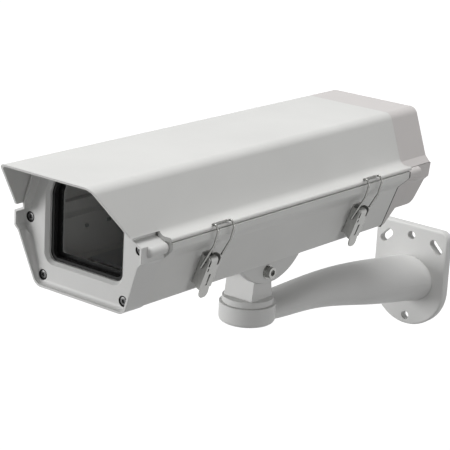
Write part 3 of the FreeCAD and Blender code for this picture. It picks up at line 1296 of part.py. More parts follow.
doc.recompute()
for item in doc.Objects:
    if "Invalid" in item.State or "Error" in item.State:
        raise RuntimeError(f"{item.Label} did not build: {item.State}")
os.makedirs("parts", exist_ok=True)
for label in SUB_PARTS:
    found = doc.getObjectsByLabel(label)
    if len(found) != 1:
        raise RuntimeError(f"{label} names {len(found)} objects")
    shape = found[0].Shape
    if shape.isNull() or not shape.isValid() or not shape.Solids:
        raise RuntimeError(f"{label} is not a valid solid")
    shape.exportStep(f"parts/{label}.step")
    box = shape.BoundBox
    print(f"{label}: {len(shape.Solids)} solids, {shape.Volume:.0f} mm3, "
          f"X {box.XMin:.1f} {box.XMax:.1f}, Y {box.YMin:.1f} {box.YMax:.1f}, "
          f"Z {box.ZMin:.1f} {box.ZMax:.1f}")
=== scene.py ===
# %% [markdown]
# # A camera housing on its wall arm
#
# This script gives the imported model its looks. The model comes in as a fixed frame: every
# solid is already in its place and rides on its body, so all that happens here is light,
# finish and the fine detail that a solid modeller leaves out. The scene is in metres. The fine
# pieces are written in millimetres, as on a drawing, and brought to metres by the factor MM.

# %% Load the frame
import math

import bmesh
import bpy
from mathutils import Matrix, Vector


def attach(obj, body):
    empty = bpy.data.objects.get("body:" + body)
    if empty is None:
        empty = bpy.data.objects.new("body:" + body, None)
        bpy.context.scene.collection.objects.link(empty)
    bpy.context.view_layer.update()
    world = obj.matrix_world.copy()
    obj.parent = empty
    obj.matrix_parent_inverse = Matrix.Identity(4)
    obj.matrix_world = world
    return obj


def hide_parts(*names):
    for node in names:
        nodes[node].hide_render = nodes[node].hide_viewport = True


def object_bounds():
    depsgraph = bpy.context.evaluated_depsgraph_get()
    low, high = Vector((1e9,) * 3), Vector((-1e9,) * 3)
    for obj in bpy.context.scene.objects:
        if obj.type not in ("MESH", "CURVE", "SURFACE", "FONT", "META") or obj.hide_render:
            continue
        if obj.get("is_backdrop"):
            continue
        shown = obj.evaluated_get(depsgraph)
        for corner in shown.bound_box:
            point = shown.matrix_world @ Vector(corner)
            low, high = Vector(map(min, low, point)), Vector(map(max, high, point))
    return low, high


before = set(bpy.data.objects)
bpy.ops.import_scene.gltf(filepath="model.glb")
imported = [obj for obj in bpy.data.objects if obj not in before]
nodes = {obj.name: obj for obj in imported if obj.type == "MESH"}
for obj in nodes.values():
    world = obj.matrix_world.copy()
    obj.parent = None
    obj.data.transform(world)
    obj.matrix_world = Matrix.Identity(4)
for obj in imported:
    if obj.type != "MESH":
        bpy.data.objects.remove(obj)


def corners():
    low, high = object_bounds()
    return [[float(v) for v in low], [float(v) for v in high]]


def add_object(name, data):
    made = bpy.data.objects.new(name, data)
    bpy.context.scene.collection.objects.link(made)
    return made


cad_box = corners()
print("solids in the frame:", len(nodes), "box:", cad_box)

# %% [markdown]
# ## The camera
#
# The photograph was taken from the front right, a little above the housing, with a long lens
# and the camera turned by a few degrees. A view like that is three directions: one from the
# object back to the camera, one to the right and one up. The roll turns the last two about
# the first. Building the matrix from them keeps the angles readable as plain numbers.

# %% Camera
AZIMUTH = math.radians(38.58)
ELEVATION = math.radians(16.72)
ROLL = math.radians(3.08)
CAMERA_PLACE = Vector((0.8591, -1.3807, 0.5253))
SENSOR = 36.0
FOCAL_PIXELS = 1701.8
IMAGE_SIDE = 450


def look_matrix(azimuth, elevation, roll, place):
    back = Vector((math.sin(azimuth) * math.cos(elevation),
                   -math.cos(azimuth) * math.cos(elevation),
                   math.sin(elevation)))
    right = Vector((math.cos(azimuth), math.sin(azimuth), 0))
    up = back.cross(right)
    turned_right = right * math.cos(roll) + up * math.sin(roll)
    turned_up = up * math.cos(roll) - right * math.sin(roll)
    matrix = Matrix((turned_right, turned_up, back)).transposed().to_4x4()
    matrix.translation = place
    return matrix


camera = add_object("camera", bpy.data.cameras.new("camera"))
camera.data.sensor_width = SENSOR
camera.data.lens = FOCAL_PIXELS / IMAGE_SIDE * SENSOR
camera.matrix_world = look_matrix(AZIMUTH, ELEVATION, ROLL, CAMERA_PLACE)
bpy.context.scene.camera = camera
print("lens in mm:", round(camera.data.lens, 1))

# %% [markdown]
# ## Light, background and floor
#
# The photograph is studio product light. A large soft source above makes the cover's top the
# brightest face. The bezel, the post and the wall plate are bright in front while the walls
# inside the bezel and the hood, which look to the right, are dark: so the second source stands
# far to the front left. A weaker one on the right, a little to the rear, keeps the long side
# only one step darker, and a very weak one reaches through the window to the wall behind it.
# A sun or a small lamp would draw hard edges on satin paint, so these are area lamps between
# 0.6 and 1.4 metres wide, and the world fills the rest.
#
# The white of the background must not light the object. The Light Path node tells what kind of
# ray asks: rays from the camera, and mirror or glass rays that show the background, get plain
# white, and every other ray gets the weaker fill.

# %% World
FILL_LEVEL = 0.18
BACKGROUND_LEVEL = 1.0
WHITE = (1, 1, 1, 1)


def reckon(tree, operation, first, second):
    """One math node on two values of a shader tree."""
    step = tree.nodes.new("ShaderNodeMath")
    step.operation = operation
    tree.links.new(first, step.inputs[0])
    tree.links.new(second, step.inputs[1])
    return step.outputs[0]


def background_ray(tree):
    """1 for the rays that show the background, 0 for the rays that light the object."""
    path = tree.nodes.new("ShaderNodeLightPath")
    seen = reckon(tree, "MAXIMUM", path.outputs["Is Camera Ray"], path.outputs["Is Glossy Ray"])
    return reckon(tree, "MAXIMUM", seen, path.outputs["Is Transmission Ray"])


world = bpy.data.worlds.new("studio")
bpy.context.scene.world = world
world.use_nodes = True
sky = world.node_tree
sky.nodes.clear()
fill = sky.nodes.new("ShaderNodeBackground")
fill.inputs["Color"].default_value = WHITE
fill.inputs["Strength"].default_value = FILL_LEVEL
white = sky.nodes.new("ShaderNodeBackground")
white.inputs["Color"].default_value = WHITE
white.inputs["Strength"].default_value = BACKGROUND_LEVEL
choose = sky.nodes.new("ShaderNodeMixShader")
result = sky.nodes.new("ShaderNodeOutputWorld")
sky.links.new(background_ray(sky), choose.inputs["Fac"])
sky.links.new(fill.outputs[0], choose.inputs[1])
sky.links.new(white.outputs[0], choose.inputs[2])
sky.links.new(choose.outputs[0], result.inputs["Surface"])
bpy.context.scene.view_settings.view_transform = "Standard"
print("fill strength:", FILL_LEVEL)

# %% Lamps
AIM = Vector((0.0, -0.25, 0.1))


def soft_lamp(name, place, side, watts):
    lamp = bpy.data.lights.new(name, "AREA")
    lamp.size = side
    lamp.energy = watts
    holder = add_object(name, lamp)
    holder.location = place
    holder.rotation_euler = (AIM - Vector(place)).to_track_quat("-Z", "Y").to_euler()


soft_lamp("top_softbox", (-0.1, -0.5, 1.9), side=1.4, watts=30)
soft_lamp("front_left_softbox", (-1.55, -1.8, 0.25), side=1.2, watts=33)
soft_lamp("side_softbox", (2.0, 0.1, 0.5), side=1.0, watts=8)
soft_lamp("window_softbox", (1.5, -1.7, 0.3), side=0.6, watts=2.2)
print("lamps:", len(bpy.data.lights))

# %% [markdown]
# The floor lies well below the arm. Lit paper alone renders light grey, so the floor's shader
# adds some white of its own, for the background rays only. Near the object the sum is just
# white where the lamps reach, and drops where the object's shadow falls, so the shadow stays.
# Further out, where the lamps no longer reach, the white of its own takes over, and the paper
# runs into the white of the world without a line.

# %% Floor
FLOOR_DROP = 0.22
FLOOR_HALF = 4.0
FLOOR_MIDDLE = (0.0, -0.25)
PAPER_GREY = (0.28, 0.28, 0.28, 1)
# The paper's own white, near the floor's middle and far from it, and the two distances
LIFT_NEAR = 0.80
LIFT_FAR = 0.99
NEAR_REACH = 0.45
FAR_REACH = 1.30

floor_mesh = bpy.data.meshes.new("floor")
floor_level = cad_box[0][2] - FLOOR_DROP
floor_mesh.from_pydata([(x * FLOOR_HALF, y * FLOOR_HALF, floor_level)
                        for x, y in ((-1, -1), (1, -1), (1, 1), (-1, 1))], [], [(0, 1, 2, 3)])
floor = add_object("floor", floor_mesh)
paper = bpy.data.materials.new("white_paper")
paper.use_nodes = True
sheet = paper.node_tree
sheet.nodes.clear()
lit = sheet.nodes.new("ShaderNodeBsdfDiffuse")
lit.inputs["Color"].default_value = PAPER_GREY
lift = sheet.nodes.new("ShaderNodeEmission")
where = sheet.nodes.new("ShaderNodeTexCoord")
away = sheet.nodes.new("ShaderNodeVectorMath")
away.operation = "DISTANCE"
away.inputs[1].default_value = (*FLOOR_MIDDLE, floor_level)
rise = sheet.nodes.new("ShaderNodeMapRange")
rise.inputs["From Min"].default_value = NEAR_REACH
rise.inputs["From Max"].default_value = FAR_REACH
rise.inputs["To Min"].default_value = LIFT_NEAR
rise.inputs["To Max"].default_value = LIFT_FAR
both = sheet.nodes.new("ShaderNodeAddShader")
ground = sheet.nodes.new("ShaderNodeOutputMaterial")
sheet.links.new(where.outputs["Object"], away.inputs[0])
sheet.links.new(away.outputs["Value"], rise.inputs["Value"])
own_white = reckon(sheet, "MULTIPLY", background_ray(sheet), rise.outputs["Result"])
sheet.links.new(own_white, lift.inputs["Strength"])
sheet.links.new(lit.outputs[0], both.inputs[0])
sheet.links.new(lift.outputs[0], both.inputs[1])
sheet.links.new(both.outputs[0], ground.inputs["Surface"])
floor_mesh.materials.append(paper)
floor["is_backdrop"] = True
print("floor at", round(floor_level, 3))

# %% [markdown]
# ## Finishes
#
# Every finish reads Object coordinates, which on these solids are plain metres, so the scale
# of a grain can be given in grains per metre and is the same on a screw and on the cover.

# %% Helpers for finishes
# Nearly all of a noise's values lie between these two
NOISE_LOW = 0.3
NOISE_HIGH = 0.7
EDGE_SAMPLES = 4
EVEN = (1, 1, 1)


def finish(name, colour, roughness, metallic=0.0):
    material = bpy.data.materials.new(name)
    material.use_nodes = True
    shader = material.node_tree.nodes["Principled BSDF"]
    shader.inputs["Base Color"].default_value = (*colour, 1)
    shader.inputs["Roughness"].default_value = roughness
    shader.inputs["Metallic"].default_value = metallic
    return material, material.node_tree, shader


def noise(tree, grains, detail, stretch=EVEN):
    """A noise of so many grains to the metre, drawn out along the axis with the small stretch."""
    place = tree.nodes.new("ShaderNodeTexCoord")
    mapping = tree.nodes.new("ShaderNodeMapping")
    mapping.inputs["Scale"].default_value = stretch
    texture = tree.nodes.new("ShaderNodeTexNoise")
    texture.inputs["Scale"].default_value = grains
    texture.inputs["Detail"].default_value = detail
    tree.links.new(place.outputs["Object"], mapping.inputs["Vector"])
    tree.links.new(mapping.outputs["Vector"], texture.inputs["Vector"])
    return texture.outputs["Fac"]


def spread(tree, value, low, high):
    span = tree.nodes.new("ShaderNodeMapRange")
    span.inputs["From Min"].default_value = NOISE_LOW
    span.inputs["From Max"].default_value = NOISE_HIGH
    span.inputs["To Min"].default_value = low
    span.inputs["To Max"].default_value = high
    tree.links.new(value, span.inputs["Value"])
    return span.outputs["Result"]


def tint(tree, value, dark, light):
    ramp = tree.nodes.new("ShaderNodeValToRGB")
    ramp.color_ramp.elements[0].position = NOISE_LOW
    ramp.color_ramp.elements[0].color = (*dark, 1)
    ramp.color_ramp.elements[1].position = NOISE_HIGH
    ramp.color_ramp.elements[1].color = (*light, 1)
    tree.links.new(value, ramp.inputs["Fac"])
    return ramp.outputs["Color"]


def relief(tree, shader, value, depth, strength, edge=0.0):
    """Bumps of a depth in metres, over edges that are rounded by a radius if one is given."""
    bump = tree.nodes.new("ShaderNodeBump")
    bump.inputs["Distance"].default_value = depth
    bump.inputs["Strength"].default_value = strength
    tree.links.new(value, bump.inputs["Height"])
    if edge:
        soft_edge = tree.nodes.new("ShaderNodeBevel")
        soft_edge.samples = EDGE_SAMPLES
        soft_edge.inputs["Radius"].default_value = edge
        tree.links.new(soft_edge.outputs["Normal"], bump.inputs["Normal"])
    tree.links.new(bump.outputs["Normal"], shader.inputs["Normal"])


def shade(colour, factor):
    return tuple(c * factor for c in colour)


# %% [markdown]
# ## Powder coat
#
# The housing, its cast caps and the arm are powder coated: satin, very even, and never quite
# flat. The coat flows into low waves some centimetres long, with a fine orange peel on top, and
# it gathers into a small radius on every sharp edge. The waves and the peel are far too shallow
# to model: the waves are a noise in the colour, and the peel one in the gloss and the bump. The
# rounded edge comes from the Bevel node, which bends the shading within half a millimetre of an
# edge; bevelling the meshes would do the same with tens of thousands of faces.

# %% Powder coat
WAVE_GRAINS = 14
PEEL_GRAINS = 1100
PEEL_DEPTH = 0.00003
PEEL_STRENGTH = 0.35
COAT_EDGE = 0.0005
COAT_SPECULAR = 0.38


def powder_coat(name, colour, roughness=0.42):
    material, tree, shader = finish(name, colour, roughness)
    cloud = noise(tree, WAVE_GRAINS, detail=3)
    grain = noise(tree, PEEL_GRAINS, detail=2)
    tree.links.new(tint(tree, cloud, dark=shade(colour, 0.965), light=shade(colour, 1.02)),
                   shader.inputs["Base Color"])
    tree.links.new(spread(tree, grain, low=roughness - 0.04, high=roughness + 0.06),
                   shader.inputs["Roughness"])
    relief(tree, shader, grain, PEEL_DEPTH, PEEL_STRENGTH, COAT_EDGE)
    shader.inputs["Specular IOR Level"].default_value = COAT_SPECULAR
    return material


HOUSING_GREY = (0.66, 0.66, 0.645)
BEZEL_GREY = (0.65, 0.65, 0.64)
ARM_GREY = (0.66, 0.66, 0.65)
CAP_GREY = (0.60, 0.575, 0.565)
housing_coat = powder_coat("housing_coat", HOUSING_GREY)
bezel_coat = powder_coat("bezel_coat", BEZEL_GREY, 0.40)
arm_coat = powder_coat("arm_coat", ARM_GREY, 0.45)
cap_coat = powder_coat("cap_coat", CAP_GREY, 0.45)
print("coats:", [m.name for m in bpy.data.materials if m.name.endswith("_coat")])

# %% [markdown]
# ## Bare metals
#
# The draw latches and hinges are pressed stainless sheet, which comes off the roll with fine
# lines one way, and the bails are drawn wire, bright and smooth. The fasteners are zinc plated
# and a little duller. One finish serves all of them: a metal shader whose colour and roughness
# follow a noise. On sheet the noise is drawn out along the grain. On wire and plating it's
# even, and they differ in colour and gloss only.

# %% Bare metals
LINE_GRAINS = 700
LINE_DEPTH = 0.00002
LINE_STRENGTH = 0.3
GRAIN_ALONG_Z = (1, 1, 0.05)
GRAIN_ALONG_Y = (1, 0.05, 1)


def bare_metal(name, colour, roughness, stretch=EVEN):
    material, tree, shader = finish(name, colour, roughness, metallic=1.0)
    lines = noise(tree, LINE_GRAINS, detail=3, stretch=stretch)
    tree.links.new(tint(tree, lines, dark=shade(colour, 0.9), light=shade(colour, 1.05)),
                   shader.inputs["Base Color"])
    tree.links.new(spread(tree, lines, low=roughness - 0.06, high=roughness + 0.1),
                   shader.inputs["Roughness"])
    relief(tree, shader, lines, LINE_DEPTH, LINE_STRENGTH)
    return material


stainless = bare_metal("stainless", (0.36, 0.36, 0.35), 0.42, GRAIN_ALONG_Z)
wire_steel = bare_metal("wire_steel", (0.27, 0.27, 0.26), 0.16)
zinc = bare_metal("zinc_plate", (0.42, 0.43, 0.43), 0.30)
bolt_steel = bare_metal("bolt_steel", (0.34, 0.34, 0.33), 0.26)
dark_steel = bare_metal("dark_steel", (0.11, 0.11, 0.11), 0.26)
sled_metal = bare_metal("sled_metal", (0.58, 0.59, 0.60), 0.36, GRAIN_ALONG_Y)
brass = bare_metal("brass", (0.62, 0.45, 0.19), 0.3)
print("metals:", [m.name for m in (stainless, wire_steel, zinc, bolt_steel, dark_steel,
                                   sled_metal, brass)])

# %% [markdown]
# ## Rubber and plastics
#
# The seals and gaskets are black rubber, the glands grey nylon and the knobs black plastic.
# Each is one dark or grey colour in which a fine grain scatters the light, so they share one
# recipe with a different grain size and gloss.

# %% Rubber and plastics
SKIN_STRENGTH = 0.5


def soft_skin(name, colour, roughness, grains, depth, specular=0.5):
    material, tree, shader = finish(name, colour, roughness)
    shader.inputs["Specular IOR Level"].default_value = specular
    grain = noise(tree, grains, detail=3)
    tree.links.new(tint(tree, grain, dark=shade(colour, 0.8), light=shade(colour, 1.2)),
                   shader.inputs["Base Color"])
    tree.links.new(spread(tree, grain, low=roughness - 0.08, high=roughness + 0.08),
                   shader.inputs["Roughness"])
    relief(tree, shader, grain, depth, SKIN_STRENGTH)
    return material


rubber = soft_skin("black_rubber", (0.012, 0.012, 0.012), 0.6, grains=900, depth=0.00004,
                   specular=0.18)
nylon = soft_skin("gland_nylon", (0.30, 0.30, 0.30), 0.48, grains=1500, depth=0.00002)
knob_black = soft_skin("knob_plastic", (0.015, 0.015, 0.015), 0.45, grains=1200, depth=0.00002,
                       specular=0.3)
print("soft skins:", [m.name for m in (rubber, nylon, knob_black)])

# %% [markdown]
# ## Window
#
# The window is one flat pane of coated glass. It could be a transmission shader, but then no
# lamp would reach the room behind it without slow, grainy caustics, and that room is what is
# seen through it. So the pane is a thin dark film instead: nearly clear by its Alpha, with a
# low, sharp reflection.

# %% Window glass
PANE_BODY = (0.012, 0.013, 0.013)
PANE_ROUGHNESS = 0.02
PANE_ALPHA = 0.06
PANE_SPECULAR = 0.32
glass, _, glass_shader = finish("window_glass", PANE_BODY, PANE_ROUGHNESS)
glass_shader.inputs["Alpha"].default_value = PANE_ALPHA
glass_shader.inputs["Specular IOR Level"].default_value = PANE_SPECULAR
print("pane:", PANE_BODY, "alpha:", PANE_ALPHA)

# %% [markdown]
# ## Who wears what
#
# A solid's mesh is never touched: it only gets its finish in its material slots. The lists
# below are all the solids of the frame, and the print shows if one has been forgotten.

# %% Give each solid its finish
FINISHES = {
    arm_coat: ["wall_arm", "swivel_head", "tilt_saddle"],
    housing_coat: ["base_tray", "top_cover"],
    bezel_coat: ["front_bezel", "window_clamp"],
    cap_coat: ["cover_end_cap", "tray_end_cap"],
    stainless: ["front_hinge_tray_leaf", "rear_hinge_tray_leaf", "front_hinge_cover_leaf",
                "rear_hinge_cover_leaf", "front_latch_base", "rear_latch_base",
                "front_latch_lever", "rear_latch_lever", "latch_rivets"],
    wire_steel: ["front_latch_bail", "rear_latch_bail", "front_latch_pin", "rear_latch_pin",
                 "hinge_pins"],
    bolt_steel: ["tilt_bolt", "tilt_washers", "spring_washer", "tilt_nut"],
    zinc: ["pan_bolt", "pan_washer", "saddle_screws", "clamp_screws", "cover_cap_screws",
           "tray_cap_screws", "hinge_tray_screws", "hinge_cover_screws", "camera_screw",
           "sled_studs"],
    dark_steel: ["bezel_screws"],
    rubber: ["window_gasket", "cover_seal", "cap_gasket", "gland_plugs"],
    nylon: ["gland_bodies", "gland_nuts", "gland_locknuts"],
    sled_metal: ["camera_sled"],
    knob_black: ["thumb_nuts"],
    brass: ["earth_screw"],
    glass: ["window_glass"],
}


def wear(node, material):
    mesh = nodes[node].data
    for place in range(len(mesh.materials)):
        mesh.materials[place] = material
    if not mesh.materials:
        mesh.materials.append(material)


for material, names in FINISHES.items():
    for name in names:
        wear(name, material)
print("solids without a finish:", sorted(set(nodes) - set(sum(FINISHES.values(), []))))

# %% [markdown]
# ## Rings: one helper for everything round
#
# Screw heads, threads, knurled knobs and gland nuts are all stacks of rings round an axis: a
# ring may be a circle, a hexagon, a cross or a knurl, and the skin joins each ring to the next.
# Booleans could cut a hexagon socket into a cylinder, but they leave ragged triangles that
# shade badly. With rings, every vertex is where it should be, and the faces are clean quads
# with triangles only round a pole.

# %% Rings
MM = 0.001
TINY_TURN = 0.01
SHARP_TURN = math.radians(32)


def circle(radius):
    return lambda turn: radius


def hexagon_ring(across, limit=math.inf):
    """A hexagon by its width across flats, with its corners turned down to a limit radius."""
    def radius(turn):
        off = (turn + math.pi / 6) % (math.pi / 3) - math.pi / 6
        return min(across / 2 / math.cos(off), limit)
    return radius


def cross_ring(arm, half_width):
    """The recess of a cross screwdriver, as a distance from its middle."""
    def radius(turn):
        off = abs((turn + math.pi / 4) % (math.pi / 2) - math.pi / 4)
        along = arm / math.cos(off)
        side = half_width / math.sin(off) if off > TINY_TURN else along
        return min(along, side)
    return radius


def as_mesh(name, shape):
    """Turns a bmesh into a mesh, with all its faces looking outward."""
    bmesh.ops.recalc_face_normals(shape, faces=shape.faces)
    mesh = bpy.data.meshes.new(name)
    shape.to_mesh(mesh)
    shape.free()
    return mesh


def skin(name, rings, sides, first_pole=None, last_pole=None, closed=False):
    """A mesh over rings of (height, radius by angle), in mm, along Z."""
    shape = bmesh.new()
    rows = []
    for height, radius in rings:
        row = []
        for place in range(sides):
            turn = 2 * math.pi * place / sides
            reach = radius(turn)
            spot = (reach * math.cos(turn) * MM, reach * math.sin(turn) * MM, height * MM)
            row.append(shape.verts.new(spot))
        rows.append(row)
    pairs = list(zip(rows, rows[1:]))
    if closed:
        pairs.append((rows[-1], rows[0]))
    for low, high in pairs:
        for place in range(sides):
            after = (place + 1) % sides
            shape.faces.new((low[place], low[after], high[after], high[place]))
    for row, pole in ((rows[0], first_pole), (rows[-1], last_pole)):
        if pole is not None:
            tip = shape.verts.new((0, 0, pole * MM))
            for place in range(sides):
                shape.faces.new((row[place], row[(place + 1) % sides], tip))
    return as_mesh(name, shape)


def soften(mesh):
    """Smooth shading, with the edges that turn more than SHARP_TURN kept sharp."""
    mesh.polygons.foreach_set("use_smooth", [True] * len(mesh.polygons))
    mesh.set_sharp_from_angle(angle=SHARP_TURN)
    mesh.update()


# %% [markdown]
# ## A node tree that puts fasteners in their places
#
# The housing has about thirty screws and rivets of a few kinds. Each kind is modelled once,
# and Geometry Nodes put a copy on each point, with its axis along the vector stored on that
# point, and turned about that axis by a random angle, because no fitter lines screws up. The
# tree ends in real faces, since instances would be lost in the export.

# %% Node tree: fasteners


def new_tree(name, inputs):
    tree = bpy.data.node_groups.new(name, "GeometryNodeTree")
    tree.interface.new_socket("Geometry", in_out="INPUT", socket_type="NodeSocketGeometry")
    sockets = {}
    for label, kind in inputs:
        sockets[label] = tree.interface.new_socket(label, in_out="INPUT", socket_type=kind)
    tree.interface.new_socket("Geometry", in_out="OUTPUT", socket_type="NodeSocketGeometry")
    return tree, sockets


def attribute(tree, name, kind):
    read = tree.nodes.new("GeometryNodeInputNamedAttribute")
    read.data_type = kind
    read.inputs["Name"].default_value = name
    return read.outputs["Attribute"]


def close_tree(tree, entry, geometry):
    """Ends a tree in real faces that wear the material of its Finish input."""
    real = tree.nodes.new("GeometryNodeRealizeInstances")
    paint = tree.nodes.new("GeometryNodeSetMaterial")
    leave = tree.nodes.new("NodeGroupOutput")
    tree.links.new(geometry, real.inputs["Geometry"])
    tree.links.new(real.outputs["Geometry"], paint.inputs["Geometry"])
    tree.links.new(entry.outputs["Finish"], paint.inputs["Material"])
    tree.links.new(paint.outputs["Geometry"], leave.inputs["Geometry"])


fastener_tree, fastener_inputs = new_tree("fasteners_on_points", [
    ("Fastener", "NodeSocketObject"), ("Seed", "NodeSocketInt"),
    ("Turn", "NodeSocketFloat"), ("Finish", "NodeSocketMaterial")])
entry = fastener_tree.nodes.new("NodeGroupInput")
model = fastener_tree.nodes.new("GeometryNodeObjectInfo")
stand = fastener_tree.nodes.new("FunctionNodeAlignRotationToVector")
stand.axis = "Z"
put = fastener_tree.nodes.new("GeometryNodeInstanceOnPoints")
dice = fastener_tree.nodes.new("FunctionNodeRandomValue")
dice.data_type = "FLOAT_VECTOR"
dice.inputs["Min"].default_value = (0, 0, 0)
combine = fastener_tree.nodes.new("ShaderNodeCombineXYZ")
spin = fastener_tree.nodes.new("GeometryNodeRotateInstances")
join = fastener_tree.links.new
join(entry.outputs["Fastener"], model.inputs["Object"])
join(attribute(fastener_tree, "axis", "FLOAT_VECTOR"), stand.inputs["Vector"])
join(entry.outputs["Geometry"], put.inputs["Points"])
join(model.outputs["Geometry"], put.inputs["Instance"])
join(stand.outputs["Rotation"], put.inputs["Rotation"])
join(entry.outputs["Turn"], combine.inputs["Z"])
join(combine.outputs["Vector"], dice.inputs["Max"])
join(entry.outputs["Seed"], dice.inputs["Seed"])
join(put.outputs["Instances"], spin.inputs["Instances"])
join(dice.outputs["Value"], spin.inputs["Rotation"])
close_tree(fastener_tree, entry, spin.outputs["Instances"])
print("tree:", fastener_tree.name, "nodes:", len(fastener_tree.nodes))

# %% From tree to plain mesh
ROWS = []
FULL_TURN = 2 * math.pi


def grown(name, start_mesh, tree, sockets, values):
    """Runs a tree over a mesh and returns a plain object at the origin."""
    piece = add_object(name, start_mesh)
    growth = piece.modifiers.new("growth", "NODES")
    growth.node_group = tree
    for label, value in values.items():
        growth[sockets[label].identifier] = value
    graph = bpy.context.evaluated_depsgraph_get()
    graph.update()
    mesh = bpy.data.meshes.new_from_object(piece.evaluated_get(graph))
    piece.modifiers.remove(growth)
    piece.data = mesh
    mesh.name = name
    soften(mesh)
    return piece


def settle(piece, body, *stands_for):
    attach(piece, body)
    if stands_for:
        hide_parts(*stands_for)
    triangles = sum(len(face.vertices) - 2 for face in piece.data.polygons)
    ROWS.append((piece.name, body, triangles))
    print(piece.name, "on", body, "triangles:", triangles)


def fasteners(name, body, template, places, material, stands_for, seed, turn=FULL_TURN):
    """Puts the template at each (foot in mm, axis) and lets the piece replace its solids."""
    points = bpy.data.meshes.new(f"{name}_points")
    points.from_pydata([Vector(foot) * MM for foot, axis in places], [], [])
    axes = points.attributes.new("axis", "FLOAT_VECTOR", "POINT")
    for item, (foot, axis) in zip(axes.data, places):
        item.vector = axis
    model = add_object(f"{name}_model", template)
    piece = grown(name, points, fastener_tree, fastener_inputs,
                  {"Fastener": model, "Seed": seed, "Turn": turn, "Finish": material})
    bpy.data.objects.remove(model)
    settle(piece, body, *stands_for)
    return piece


# %% [markdown]
# ## Screws
#
# The bezel and the tray's cap are held by hexagon socket screws, sunk in counterbores, and the
# saddle by larger ones; the cover's cap, the hinges and the window clamp by round cross-head
# screws. The head's top edge is rounded, since that line of light round the rim is what makes
# a small screw look turned and not stamped.

# %% Screw shapes
HEAD_SIDES = 24


def key_screw(name, head, height, shank, length, key):
    """From the recess's floor over the rounded rim, down the head and along the shank."""
    inner = [(height * 0.45, hexagon_ring(key * 0.94)), (height - 0.12, hexagon_ring(key)),
             (height, hexagon_ring(key * 1.06))]
    outer = [(height, circle(head - 0.5)), (height - 0.08, circle(head - 0.22)),
             (height - 0.3, circle(head - 0.05)), (height - 0.6, circle(head)),
             (0, circle(head)), (0, circle(shank)), (-length, circle(shank * 0.9))]
    return skin(name, inner + outer, HEAD_SIDES, height * 0.4, -length)


def cross_screw(name, head, height, shank, length):
    """The same with a cross recess in a domed head."""
    arm, half_width = head * 0.58, head * 0.15
    inner = [(height * 0.35, cross_ring(arm * 0.7, half_width * 0.6)),
             (height * 0.97, cross_ring(arm, half_width))]
    outer = [(height * 0.93, circle(head * 0.66)), (height * 0.82, circle(head * 0.8)),
             (height * 0.62, circle(head * 0.92)), (height * 0.3, circle(head)),
             (0, circle(head)), (0, circle(shank)), (-length, circle(shank * 0.9))]
    return skin(name, inner + outer, HEAD_SIDES, height * 0.3, -length)


case_key_screw = key_screw("case_key_screw", head=3.5, height=2.2, shank=1.7, length=31.8,
                           key=2.8)
cap_key_screw = key_screw("cap_key_screw", head=3.5, height=2.2, shank=1.7, length=17.8,
                          key=2.8)
saddle_key_screw = key_screw("saddle_key_screw", head=4.3, height=2.8, shank=2.5, length=6.4,
                             key=3.4)
cap_cross_screw = cross_screw("cap_cross_screw", head=3.5, height=2.2, shank=1.7, length=17.8)
hinge_cross_screw = cross_screw("hinge_cross_screw", head=3.0, height=1.5, shank=1.6,
                                length=6.0)
clamp_cross_screw = cross_screw("clamp_cross_screw", head=2.8, height=2.0, shank=1.5,
                                length=7.2)
print("faces of a key screw:", len(case_key_screw.polygons))

# %% Screws on the ends
FRONT = (0, -1, 0)
REAR = (0, 1, 0)
UP = (0, 0, 1)
# Where the heads sit along Y, then their places across and up, all in mm
BEZEL_SEAT = -473.6
TRAY_CAP_SEAT = -133.9
COVER_CAP_SEAT = -131.6
CASE_PLACES = [(hand * across, level) for across, level in ((42.8, 95.3), (58.0, 139.4))
               for hand in (1, -1)]
COVER_CAP_PLACES = [(hand * across, level) for across, level in ((37.55, 186.3), (53.39, 154.9))
                    for hand in (1, -1)]


def seated(places, seat, axis):
    """Places across and up, all at one seat along Y and looking along one axis."""
    return [((x, seat, z), axis) for x, z in places]


fasteners("bezel_key_screws", "housing", case_key_screw,
          seated(CASE_PLACES, BEZEL_SEAT, FRONT), dark_steel, ["bezel_screws"], seed=3)
fasteners("tray_cap_key_screws", "housing", cap_key_screw,
          seated(CASE_PLACES, TRAY_CAP_SEAT, REAR), zinc, ["tray_cap_screws"], seed=5)
fasteners("cover_cap_cross_screws", "cover", cap_cross_screw,
          seated(COVER_CAP_PLACES, COVER_CAP_SEAT, REAR), zinc, ["cover_cap_screws"], seed=7)

# %% Screws on the hinges, the clamp and the saddle
HINGE_STATIONS = (400.0, 200.0)
TRAY_LEAN = math.radians(20.28)
COVER_LEAN = math.radians(19.36)
TRAY_OUT = (-math.cos(TRAY_LEAN), 0, -math.sin(TRAY_LEAN))
COVER_OUT = (-math.cos(COVER_LEAN), 0, math.sin(COVER_LEAN))
LEAF = 1.6
LEAF_SCREW_REACH = 13.0
TRAY_LEAF_MIDDLE = (-59.75, 119.0)
COVER_LEAF_MIDDLE = (-55.43, 169.0)
CLAMP_SEAT = -460.9
CLAMP_PLACES = [(across, level) for across in (44.6, -44.6) for level in (116.2, 155.0)]
SADDLE_SEAT = 90.4
SADDLE_PLACES = [(across, -station) for across in (8, -8) for station in (297.5, 235.5)]


def leaf_places(middle, outward):
    """Seats on a hinge leaf's outer face, two for each hinge."""
    x, z = middle
    out = Vector(outward)
    return [(Vector((x, way * LEAF_SCREW_REACH - station, z)) + out * LEAF, outward)
            for station in HINGE_STATIONS for way in (-1, 1)]


